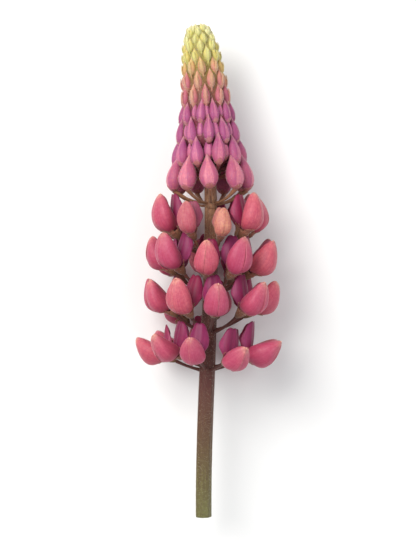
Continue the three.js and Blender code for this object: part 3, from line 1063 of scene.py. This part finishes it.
# %% A tree that puts copies on points
copies_tree, given = new_tree("Copies on points", {"Copy": "Object", "Seed": 1})
source = add(copies_tree, "GeometryNodeObjectInfo", {"Object": (given, "Copy")})
spots = add(
    copies_tree,
    "GeometryNodeInstanceOnPoints",
    {
        "Points": (given, "Geometry"),
        "Instance": (source, "Geometry"),
        "Rotation": named(copies_tree, "turn", "FLOAT_VECTOR"),
        "Scale": named(copies_tree, "scale", "FLOAT_VECTOR"),
    },
)
told_apart = add(
    copies_tree,
    "GeometryNodeStoreNamedAttribute",
    {
        "Geometry": (spots, "Instances"),
        "Name": "tone",
        "Value": random_value(copies_tree, given, -1.0, 1.0),
    },
    data_type="FLOAT",
    domain="INSTANCE",
)
end_tree(copies_tree, given, (told_apart, "Geometry"))

# %% A tree that clothes a surface in down
HAIR_VARIES = (0.5, 1.2)  # a hair's size, as a share of the given one
DOWN_INPUTS = {"Density": 2.0e6, "Length": 0.8 * MM, "Width": 0.03 * MM, "Lean": 0.8, "Seed": 1}
down_tree, given = new_tree("Down on a surface", DOWN_INPUTS)
dense = maths(down_tree, "MULTIPLY", (given, "Density"), named(down_tree, "down"))
scatter = {"Mesh": (given, "Geometry"), "Density": dense, "Seed": (given, "Seed")}
scattered = add(down_tree, "GeometryNodeDistributePointsOnFaces", scatter)
cone = {"Vertices": 3, "Radius Top": 0.0, "Radius Bottom": (given, "Width"), "Depth": (given, "Length")}
hair = add(down_tree, "GeometryNodeMeshCone", cone)
tipward = add(down_tree, "ShaderNodeCombineXYZ", {"Y": (given, "Lean")})
leaning = {0: (scattered, "Normal"), 1: (tipward, "Vector")}
pointing = add(down_tree, "ShaderNodeVectorMath", leaning, operation="ADD")
aligned = add(down_tree, "FunctionNodeAlignRotationToVector", {"Vector": (pointing, "Vector")}, axis="Z")
hairs = add(
    down_tree,
    "GeometryNodeInstanceOnPoints",
    {
        "Points": (scattered, "Points"),
        "Instance": (hair, "Mesh"),
        "Rotation": (aligned, "Rotation"),
        "Scale": random_value(down_tree, given, *HAIR_VARIES),
    },
)
end_tree(down_tree, given, (hairs, "Instances"))


# %% [markdown]
# ## Down
#
# Each hair is a three-sided spike under a millimetre long. It is too fine to see alone, but together the
# hairs soften the outline of the buds and calyces and give them their silvery bloom.


# %% Hair finish
down_finish, tree, surface = new_material("down")
bloom = {"Base Color": srgb(232, 222, 190), "Roughness": 0.5, "Sheen Weight": 0.2, **SURFACE}
fill(tree, surface, bloom)
print("finish:", down_finish.name)


# %% Clothe a piece
HAIR_WIDTH = 0.03


def clothed(item, density, length, seed, lean=0.8):
    """Adds down to a piece, over the points that its down attribute marks."""
    values = dict(density=density, length=length * MM, width=HAIR_WIDTH * MM, lean=lean, seed=seed)
    copy = item.data.copy()
    hairs = grown(item.name + "_down", copy, down_tree, material=down_finish, **values)
    return joined(item.name, [item, hairs])


# %% [markdown]
# ## Stalk, pedicels and calyces
#
# The stalk is a ribbed tube, cut square at its foot, where its hollow shows. It is shaped ring by ring,
# because ribs and the cut need their own formula. The pedicels are swept rods, and each ends in a calyx of
# two lips that clasp the petals: a short upper lip behind the banner and a longer lower one.

# %% The stem
STALK_TOP = 81.0  # where the bare stalk ends under the buds, below the tip
RIBS = 7
RIB = 0.04  # how far the ribs stand out, as a share of the radius
FINE_RIBS = 19
FINE_RIB = 0.015
HOLLOW = 0.45  # the hollow's radius at the cut, as a share of the stalk's, and at its deep end
HOLLOW_END = 0.2
HOLLOW_DEPTH = 14.0
CUT_EDGE = 0.94  # the cut's edge is rounded from this share of the radius, over this length
CUT_ROUND = 0.3
INTO_CORE = 1.0  # how far the stalk goes on inside the core of the buds
STEM_RINGS = 80
STEM_SIDES = 44


def stem(stations, radius_at, sides):
    """A ribbed stem through stations: each a distance below the tip and a share of the radius there."""

    def ring_at(s, turn):
        points = np.zeros((len(s), 3))
        for i, (share, angle) in enumerate(zip(s, turn)):
            below, wide = stations[round(share * (len(stations) - 1))]
            origin, rows = frame_at(below, 0)
            ribs = 1 + RIB * math.cos(RIBS * angle) + FINE_RIB * math.cos(FINE_RIBS * angle)
            radius = radius_at(below) * wide * ribs
            points[i] = origin + (rows[0] * math.cos(angle) - rows[2] * math.sin(angle)) * radius
        return points

    return tube(ring_at, len(stations) - 1, sides)


def stem_run(start, end, count):
    """Stations of full radius from one distance below the tip to another."""
    return [(below, 1.0) for below in np.linspace(start, end, count + 1)]


hollow = [(HOLLOW_DEPTH, HOLLOW_END), (1.0, HOLLOW), (0.0, HOLLOW), (0.0, CUT_EDGE)]
cut = [(SPIKE_LENGTH - deep, wide) for deep, wide in hollow]
run = stem_run(SPIKE_LENGTH - CUT_ROUND, STALK_TOP - INTO_CORE, STEM_RINGS)
stem_part = stem(cut + run, stalk_radius, STEM_SIDES)
cut_share = np.zeros(len(stem_part["points"]))
cut_share[:len(cut) * STEM_SIDES] = 1.0
cut_share[-2] = 1.0  # the point that closes the hollow
print("stem:", len(stem_part["points"]), "points")

# %% Pedicels, as paths
def path_mesh(name, paths):
    """A mesh of open paths. Each is a list of (point, radius) in millimetres."""
    points, edges, radii = [], [], []
    for path in paths:
        first = len(points)
        points += [np.asarray(point) * MM for point, _ in path]
        radii += [radius * MM for _, radius in path]
        edges += [(first + i, first + i + 1) for i in range(len(path) - 1)]
    mesh = bpy.data.meshes.new(name)
    mesh.from_pydata([tuple(p) for p in points], edges, [])
    mesh.attributes.new("radius", "FLOAT", "POINT").data.foreach_set("value", radii)
    return mesh


PEDICEL_RADIUS = 0.62
PEDICEL_STEPS = 9
PEDICEL_FOOT = 0.6  # how much stouter it is at the stalk, and at the calyx, as shares of that radius
PEDICEL_HEAD = 0.35


def pedicel(traits):
    """A floret's pedicel: stout at the stalk, slim, and wider again at the calyx."""
    path = []
    for t in np.arange(PEDICEL_STEPS + 1) / PEDICEL_STEPS:
        wider = PEDICEL_FOOT * (1 - t) ** 6 + PEDICEL_HEAD * t**6
        path.append((placed(pedicel_path(traits, t), floret_place(traits)), PEDICEL_RADIUS * (1 + wider)))
    return path


pedicel_paths = path_mesh("pedicel_paths", [pedicel(traits) for traits in florets])
pedicels = grown("pedicels", pedicel_paths, rods_tree, sides=8, material=stalk_finish)
print("pedicels:", len(pedicels.data.polygons), "faces")

# %% Calyces
CALYX_WALL = 0.3
CALYX_RIBS = 5
CALYX_RIB = 0.03  # how far they stand out, as a share of the radius
CUP_SHARE = 0.6  # the cup's share of the calyx's colours. The lips have the rest
LIP_FROM = 0.86  # where on the cup the lips begin
LIP_LEAVES = 0.35  # how soon a lip lies wholly on the petals, as a share of its length
LIP_NARROWS = 0.9
LOWER_LIP = dict(middle=math.pi, spread=1.25, reach=0.13, clear=0.3)
UPPER_LIP = dict(middle=0.0, spread=1.1, reach=0.16, clear=0.8)


def on_cup(traits, share, turn, radius):
    """A point on the calyx: a share of its length on from the pedicel, and turn round it."""
    along = CALYX_LENGTH * traits["size"] * share
    high, wide = np.cos(turn) * radius, np.sin(turn) * radius
    return on_line(pedicel_path(traits, 1), traits["arrive"], along, high, wide)


def calyx_cup(traits):
    """The calyx's cup, closed at its mouth by the petals' roots."""

    def ring_at(s, turn):
        flare = np.sin(np.pi / 2 * np.clip(s, 0, 1)) ** 0.8
        radius = PEDICEL_RADIUS + (CALYX_RADIUS * traits["size"] - PEDICEL_RADIUS) * flare
        return on_cup(traits, s, -turn, radius * (1 + CALYX_RIB * np.cos(CALYX_RIBS * turn)))

    made = tube(ring_at, 8, 14)
    made["along"] = made["along"] * CUP_SHARE
    return made


def calyx_lip(traits, middle, spread, reach, clear):
    """A lip of the calyx, from the cup's rim out over the petals to a point. It spreads to both sides of
    its middle, in radians, reaches over a share of the wings' length, and stands clear of them."""

    def at(v, h):
        turn = middle + h * spread * (1 - LIP_NARROWS * np.clip(v, 0, 1) ** 1.8)
        share = LIP_FROM + (1 - LIP_FROM) * np.minimum(v * 4, 1)
        rim = on_cup(traits, share, turn, CALYX_RADIUS * traits["size"])
        over = boat(traits, 0.01 + reach * v, turn, clear=clear)
        away = smooth(v, 0.0, LIP_LEAVES)[:, None]
        return rim * (1 - away) + over * away

    made = shell(at, 9, 10, CALYX_WALL)
    made["along"] = CUP_SHARE + (1 - CUP_SHARE) * made["along"]
    return made


print("a lip has", len(calyx_lip(florets[0], **LOWER_LIP)["points"]), "points")

# %% Make the stalk
calyx_parts = []
for traits in florets:
    lips = [calyx_lip(traits, **lip) for lip in (LOWER_LIP, UPPER_LIP)]
    for lip in lips:
        lip["points"] = rolled(lip["points"], traits)
    for part in (calyx_cup(traits), *lips):
        part["points"] = rest_on_surface(placed(part["points"], floret_place(traits)))
        calyx_parts.append((part, 1))
rest = sum(len(part["points"]) for part, _ in calyx_parts)
cut_share = np.append(cut_share, np.zeros(rest))
marks = {"tone": 0.0, "down": 1.0 - cut_share, "cut": cut_share}
finishes = [stalk_finish, calyx_finish]
stem_mesh = make_mesh("stalk_and_calyces", [(stem_part, 0)] + calyx_parts, finishes, marks)
stalk_item = joined("stalk_and_calyces", [add_object(stem_mesh), pedicels])
stalk_item = clothed(stalk_item, density=1.6e6, length=0.7, seed=3)
print("stalk:", finish_piece(stalk_item, ["stalk"]), "triangles")

# %% [markdown]
# ## The buds
#
# A bud is a closed banner wrapped round the rest: a drop with a round foot in a downy calyx, a fold down
# its outer face, and a point that tucks in between the buds above. The buds of a whorl are copies of one
# drop, so the drop is shaped once for each whorl and the tree puts it on every point of that whorl.

# %% The cone of buds
BUD_COUNTS = [9, 10, 10, 10, 10, 10, 9, 9, 8, 8, 7, 6]  # in each bud whorl k, counted up from the foot
BUD_PHASE = 90.0
BUD_VARY = dict(azimuth=3, length=0.05, foot=0.04)
BUD_SWELL = 0.58  # a bud's greatest radius, as a share of its width
BUD_TAPER = 0.25  # how much slimmer it is at its point than if both its ends were alike
BUD_TILT = 6.0  # how far a bud may lean to its side
BUD_BREADTH = 1.1  # its breadth across the stem, as a share of its depth
# The cone of buds widens by ROUNDING within its first millimetres, and then by SPREAD down to SPREAD_BY.
CONE_TIP = 3.6
ROUNDING = 5.0
ROUNDED_WITHIN = 6.0
SPREAD = 10.6
SPREAD_BY = 66.0
CORE = 0.82  # the radius of the stem inside the upper buds, as a share of the cone's
CORE_CROWN = 4.0  # the stem rounds off this close to the tip
CORE_THINS = (49.0, 65.0)  # where that stem thins down to the stalk
WITH_PEDICELS = 3  # how many of the lowest whorls have pedicels


# %% The measures of each bud whorl
def bud_foot(k):
    """How far the foot of bud whorl k is below the tip. The whorls are closer together towards the tip."""
    return 74 - 11 * k + 0.424 * k**2


def bud_length(k):
    """The length of that whorl's buds."""
    return 16.5 * math.exp(-0.12 * k)


def bud_width(k):
    """Their width. The oldest buds are much the stoutest."""
    return 3.75 - 0.11 * k + 3.55 * math.exp(-0.75 * k)


def bud_fullest(k):
    """How far along them they are fullest."""
    return 0.385 + 0.01 * min(k, 5)


def cone_radius(below):
    """The cone's outer radius."""
    far = max(0.0, below)
    return CONE_TIP + ROUNDING * (1 - math.exp(-far / ROUNDED_WITHIN)) + SPREAD * (far / SPREAD_BY) ** 2


def core_radius(below):
    """The stem inside the cone: stout where the buds sit on it, slim where they have pedicels."""
    slim = float(smooth(below, *CORE_THINS))
    stout = CORE * cone_radius(below) * math.sqrt(max(0.0, min(1, below / CORE_CROWN)))
    return stout + (stalk_radius(below) - stout) * slim


def bud_belly(k):
    """How far out the middle of a bud is, at its foot."""
    return cone_radius(bud_foot(k) - 0.35 * bud_length(k)) - 0.5 * bud_width(k)


for k in (0, len(BUD_COUNTS) - 1):
    print("buds of whorl", k, "are", round(bud_length(k), 1), "long and", round(bud_width(k), 1), "wide")

# %% One bud's surface
STRIP = [0.62, 0.46, 0.4, 0.34, 0.3, 0.28]  # half the strip's width in radians, from the lowest whorl up
STRIP_NARROWS = 0.75  # by how much, to the point
STRIP_EDGE = (0.9, 1.1)  # where the step to the flanks begins and ends, as shares of that half
STEP = 0.07  # how far the strip lies below the flanks, as a share of the radius
STRIP_HOLLOW = 0.6  # how much of that depth only its middle has
BUD_POINT = 0.42  # how far inside the cone a bud's point is, as a share of its width


def bud_strip(k, t):
    """Half the width of the strip on a bud's outer face, in radians. It narrows to the point."""
    return STRIP[min(k, len(STRIP) - 1)] * (1 - STRIP_NARROWS * t**1.6)


def bud_surface(k, t, turn, clear=0.0):
    """A point on the drop of whorl k, in the frame of its foot, and whether it is on the strip."""
    point = cone_radius(bud_foot(k) - bud_length(k)) - BUD_POINT * bud_width(k)
    place = turn / bud_strip(k, t)
    on_strip = 1 - smooth(np.abs(place), *STRIP_EDGE)
    swell = roundness(np.clip(t, 0.001, 0.9985), bud_fullest(k))
    radius = BUD_SWELL * bud_width(k) * swell * (1 - BUD_TAPER * t)
    sunk = 1 - STRIP_HOLLOW + STRIP_HOLLOW * np.cos(np.clip(place, -1.5, 1.5))
    radius = radius * (1 - STEP * on_strip * sunk) + clear
    out = bud_belly(k) + (point - bud_belly(k)) * t**2
    return np.stack([out + radius * np.cos(turn), bud_length(k) * t, -radius * np.sin(turn)], -1), on_strip


print("the strip of the lowest buds is", 2 * STRIP[0], "radians wide")


# %% One bud's petals and calyx
BUD_RINGS = 14
BUD_SIDES = 20
STRIP_SHARE = 0.3  # the shares of a bud's sides that lie on the strip, and up to the step's outer edge
STEP_SHARE = 0.4


def marked(part, cover, strip=0.0):
    """Marks which of a bud's parts this is."""
    count = len(part["points"])
    part["cover"] = np.full(count, cover)
    part["strip"] = np.full(count, strip) if np.isscalar(strip) else strip
    return part


def bud_petals(k):
    """The closed petals of whorl k: banner flanks with the wings' strip between them."""

    def warped(s, turn):
        """Where a regular grid's point goes, so that points crowd at both edges of the strip."""
        t = (1 - np.cos(np.pi * s)) / 2
        share = np.where(turn > np.pi, turn - 2 * np.pi, turn) / np.pi
        strip = bud_strip(k, t)
        begins, ends = STRIP_EDGE[0] * strip, STRIP_EDGE[1] * strip
        size = np.abs(share)
        inside = size / STRIP_SHARE * begins
        ridge = begins + (size - STRIP_SHARE) / (STEP_SHARE - STRIP_SHARE) * (ends - begins)
        outside = ends + (size - STEP_SHARE) / (1 - STEP_SHARE) * (np.pi - ends)
        angle = np.where(size < STRIP_SHARE, inside, np.where(size < STEP_SHARE, ridge, outside))
        return t, np.sign(share) * angle

    made = tube(lambda s, turn: bud_surface(k, *warped(s, turn))[0], BUD_RINGS, BUD_SIDES)
    t, angle = warped(*ring_grid(BUD_RINGS, BUD_SIDES))
    made["along"] = np.append(t, [0, 1])
    made["across"] = np.append(angle, [0, 0])
    return marked(made, 0.0, np.append(bud_surface(k, t, angle)[1], [0, 0]))


CUP_DEPTH = (0.12, 0.02)  # the lowest whorl's, as a share of a bud's length, and how it grows by whorl
CUP_LIPS = [(0.75, 0.0, 0.6), (0.4, math.pi, 0.7)]  # each lip's length, middle and breadth
CUP_CLEAR = 0.06  # how far the cup stands off the bud at its foot, and as much again at its rim
CUP_WALL = 0.1


def bud_calyx(k):
    """The calyx round a bud's foot, with its longer lip on the outer face."""
    depth = CUP_DEPTH[0] + CUP_DEPTH[1] * min(k, 6)

    def at(v, h):
        turn = h * np.pi
        lips = sum(length * peak(np.abs(turn), middle, breadth) for length, middle, breadth in CUP_LIPS)
        t = np.clip(0.01 + depth * (0.75 + lips) * v, 0, 1)
        return bud_surface(k, t, turn, clear=CUP_CLEAR * (1 + v))[0]

    return marked(shell(at, 5, 16, CUP_WALL), 1.0)


print("a bud has", len(bud_petals(0)["points"]), "points")

# %% The bracts of the young buds
FIRST_BRACTS = 4  # older buds have shed theirs
BRACT_FOOT = 0.2  # how far below the bud it begins, and how far on it ends, as shares of the bud's length
BRACT_REACH = 1.05
BRACT_HALF = 0.5  # half its greatest width, in radians
BRACT_CLEAR = 0.22
BRACT_FREE = 0.16  # how far its tip stands off, as a share of the bud's width
BRACT_CUPPED = 0.12  # how far its edges lie behind its middle
BRACT_STEEP = 0.35  # how fast it leads down to the stem
BRACT_WALL = 0.14
BRACT_SEAT = 0.06  # up to here along the bud, the bract leads down to the stem


def bract(k):
    """The narrow bract below a young bud: it lies along the outer face, and its tip stands free."""
    length = bud_length(k)

    def at(v, h):
        t = BRACT_REACH * v - BRACT_FOOT
        half_width = BRACT_HALF * np.sin(np.pi * (0.2 + 0.8 * v)) ** 0.7 + 0.03
        free = BRACT_FREE * bud_width(k) * smooth(v, 0.5, 1.0)
        points = bud_surface(k, np.clip(t, BRACT_SEAT, 1), h * half_width, clear=BRACT_CLEAR + free)[0]
        points[:, 1] = length * t
        points[:, 0] -= BRACT_CUPPED * h**2 + np.maximum(BRACT_SEAT - t, 0) * BRACT_STEEP * length
        return points

    made = marked(shell(at, 8, 2, BRACT_WALL), 1.0)
    made["along"] = made["along"] * 0.5
    return made


print("a bract has", len(bract(FIRST_BRACTS)["points"]), "points")


# %% Where each bud is
def bud_traits(k, j):
    """What sets bud j of whorl k apart from the others."""
    piece = 100 + 10 * k + j
    stretch = 1 + BUD_VARY["length"] * draw(piece, 2)
    even = BUD_PHASE + 360 / BUD_COUNTS[k] * (j + 0.5 * (k % 2))
    return {
        "foot": bud_foot(k) + BUD_VARY["foot"] * bud_length(k) * stretch * draw(piece, 3),
        "azimuth": even + BUD_VARY["azimuth"] * draw(piece, 1),
        "tilt": math.radians(BUD_TILT) * draw(piece, 4),
        "scale": (1.0, stretch, BUD_BREADTH),
        "inward": 0.0,
    }


TUCKED_IN = {1: 0.82, 2: 0.88, 3: 0.88}  # whorls with late buds, and how far out these are, as a share
TUCKED_SIZE = 0.82
TUCKED_LIFT = 0.15  # how much nearer the tip they are, as a share of a bud's length


def tucked_traits(k, j):
    """A late bud of whorl k, nearer the stem than bud j and halfway to the next one."""
    near = bud_traits(k, j)
    foot = near["foot"] - TUCKED_LIFT * bud_length(k)
    scale = (TUCKED_IN[k], TUCKED_SIZE, TUCKED_SIZE)
    return {**near, "foot": foot, "azimuth": near["azimuth"] + 180 / BUD_COUNTS[k], "scale": scale}


# %% The buds that close the tip
APEX_BUDS = 5
APEX_SCALE = 0.62
APEX_PHASE = 30.0
APEX_FEET = (3.3, 2.7)  # how far below the tip the ring's feet are, and the middle one's
APEX_RADIUS = 1.9


def apex_traits():
    """The smallest buds, which close the tip: a ring of them round one in the middle."""
    belly = bud_belly(len(BUD_COUNTS) - 1) * APEX_SCALE
    ring = {"foot": APEX_FEET[0], "tilt": 0.0, "scale": (APEX_SCALE,) * 3, "inward": belly - APEX_RADIUS}
    buds = [{**ring, "azimuth": APEX_PHASE + 360 / APEX_BUDS * j} for j in range(APEX_BUDS)]
    return [*buds, {**ring, "foot": APEX_FEET[1], "azimuth": APEX_PHASE + 360, "inward": belly}]


def bud_points(name, buds):
    """A mesh of points, with each bud's turn and scale."""
    places, turns, scales = [], [], []
    for bud in buds:
        origin, rows = frame_at(bud["foot"], bud["azimuth"])
        turned = [rows[0], rows[1] * math.cos(bud["tilt"]) + rows[2] * math.sin(bud["tilt"])]
        rows = np.array([*turned, np.cross(*turned)])
        places.append(tuple((origin - rows[0] * bud["inward"]) * MM))
        turns.append(Matrix(rows.T.tolist()).to_euler("XYZ"))
        scales.append(bud["scale"])
    mesh = bpy.data.meshes.new(name)
    mesh.from_pydata(places, [], [])
    for key, rows in (("turn", turns), ("scale", scales)):
        flat = [number for row in rows for number in row]
        mesh.attributes.new(key, "FLOAT_VECTOR", "POINT").data.foreach_set("vector", flat)
    return mesh


print("late buds:", sum(BUD_COUNTS[k] for k in TUCKED_IN), "and at the tip:", len(apex_traits()))


# %% Pedicels of the lowest buds
BUD_DROP = 0.3  # how far below a bud's foot its pedicel leaves the stem, as a share of its length
BUD_DIP = 0.09  # how far it dips on the way
BUD_SEAT = 0.04  # how far into the bud it goes
BUD_ROD = 0.6  # its radius, and how much wider it is at the bud
BUD_ROD_WIDER = 0.5


def bud_pedicel(k, bud):
    """The path from the stem to the foot of one bud of whorl k."""
    length = bud_length(k) * bud["scale"][1]
    place = frame_at(bud["foot"], bud["azimuth"])
    drop = BUD_DROP * length
    root = np.array([core_radius(bud["foot"] + drop) - SINK, -drop, 0.0])
    end = np.array([bud_belly(k) * bud["scale"][0], BUD_SEAT * length, 0.0])
    path = []
    for t in np.linspace(0, 1, 6):
        bend = np.array([0.0, -BUD_DIP * length * math.sin(math.pi * t), 0.0])
        path.append((placed(root * (1 - t) + end * t + bend, place), BUD_ROD + BUD_ROD_WIDER * t**4))
    return path


print("a bud's pedicel has", len(bud_pedicel(0, bud_traits(0, 0))), "points")


# %% Make one whorl of buds
PETAL_DOWN = 0.25  # the down on a bud's petals, as a share of that on its calyx


def bud_whorl(k, finish):
    """All buds of whorl k, with its late ones, and the apex on the last."""
    buds = [bud_traits(k, j) for j in range(BUD_COUNTS[k])]
    if k in TUCKED_IN:
        buds += [tucked_traits(k, j) for j in range(BUD_COUNTS[k])]
    paths = [bud_pedicel(k, bud) for bud in buds] if k < WITH_PEDICELS else []
    if k + 1 == len(BUD_COUNTS):
        buds += apex_traits()
    shape = [(bud_petals(k), 0), (bud_calyx(k), 0)]
    if k >= FIRST_BRACTS:
        shape.append((bract(k), 0))
    marks = {key: np.concatenate([part[key] for part, _ in shape]) for key in ("strip", "cover")}
    marks["down"] = PETAL_DOWN + (1 - PETAL_DOWN) * marks["cover"]
    drop = add_object(make_mesh(f"drop_{k}", shape, [], marks))
    points = bud_points(f"points_{k}", buds)
    whorl = grown(f"whorl_{k}", points, copies_tree, copy=drop, seed=k, material=finish)
    bpy.data.objects.remove(drop)
    print("whorl", k, "has", len(buds), "buds")
    return whorl, paths


# %% Make the buds
# Each colour of bud: its first and last whorl, its slot, and the density and length of its down.
BUD_NODES = {
    "buds_mauve": (0, 3, "bud_mauve", 1.4e6, 0.7),
    "buds_blush": (4, 6, "bud_blush", 2.4e6, 0.8),
    "buds_green": (7, 11, "bud_green", 4.0e6, 0.9),
}
BUD_LEAN = 1.4  # how far the down on the buds leans towards the tip
SEAT = 0.3  # where two colours' cores meet: this share of a bud's length below the upper one's feet
CORE_TOP = 0.4  # how near the tip the core ends
CORE_GAP = 0.3  # how far below the stalk's top it begins
CORE_RINGS = 40
DOWN_SEED = 11


def core_end(k):
    """Where the core of the buds below whorl k ends, and that of the next colour begins."""
    return bud_foot(k) + SEAT * bud_length(k) if k < len(BUD_COUNTS) else CORE_TOP


for index, (name, (first, last, slot, density, length)) in enumerate(BUD_NODES.items()):
    pieces, paths = [], []
    for k in range(first, last + 1):
        whorl, whorl_paths = bud_whorl(k, bud_finishes[name])
        pieces.append(whorl)
        paths += whorl_paths
    start = core_end(first) if first else STALK_TOP + CORE_GAP
    core_part = stem(stem_run(start, core_end(last + 1), CORE_RINGS), core_radius, STEM_SIDES)
    marks = {"tone": 0.0, "down": 0.5, "cut": 0.0}
    pieces.append(add_object(make_mesh(name + "_core", [(core_part, 0)], [stalk_finish], marks)))
    if paths:
        rods = path_mesh("paths", paths)
        pieces.append(grown(name + "_rods", rods, rods_tree, sides=7, material=stalk_finish))
    item = clothed(joined(name + "_whorls", pieces), density, length, DOWN_SEED + index, lean=BUD_LEAN)
    print(name, finish_piece(item, [name]), "triangles")

# %% [markdown]
# ## The floor's finish
#
# The floor is pale and plain, with only enough tooth to catch a soft shadow.

# %% Floor finish
floor_finish, tree, surface = new_material("floor")
where = add(tree, "ShaderNodeTexCoord")
tooth = add(tree, "ShaderNodeTexNoise", {"Vector": (where, "Object"), "Scale": 300.0, "Detail": 3.0})
bump = add(tree, "ShaderNodeBump", {"Height": (tooth, "Fac"), "Strength": 0.05, "Distance": 0.1 * MM})
paint = {"Base Color": (0.86, 0.86, 0.85, 1.0), "Roughness": 0.8, "Normal": (bump, "Normal")}
fill(tree, surface, paint)
floor.data.materials.append(floor_finish)
print("finish:", floor_finish.name)
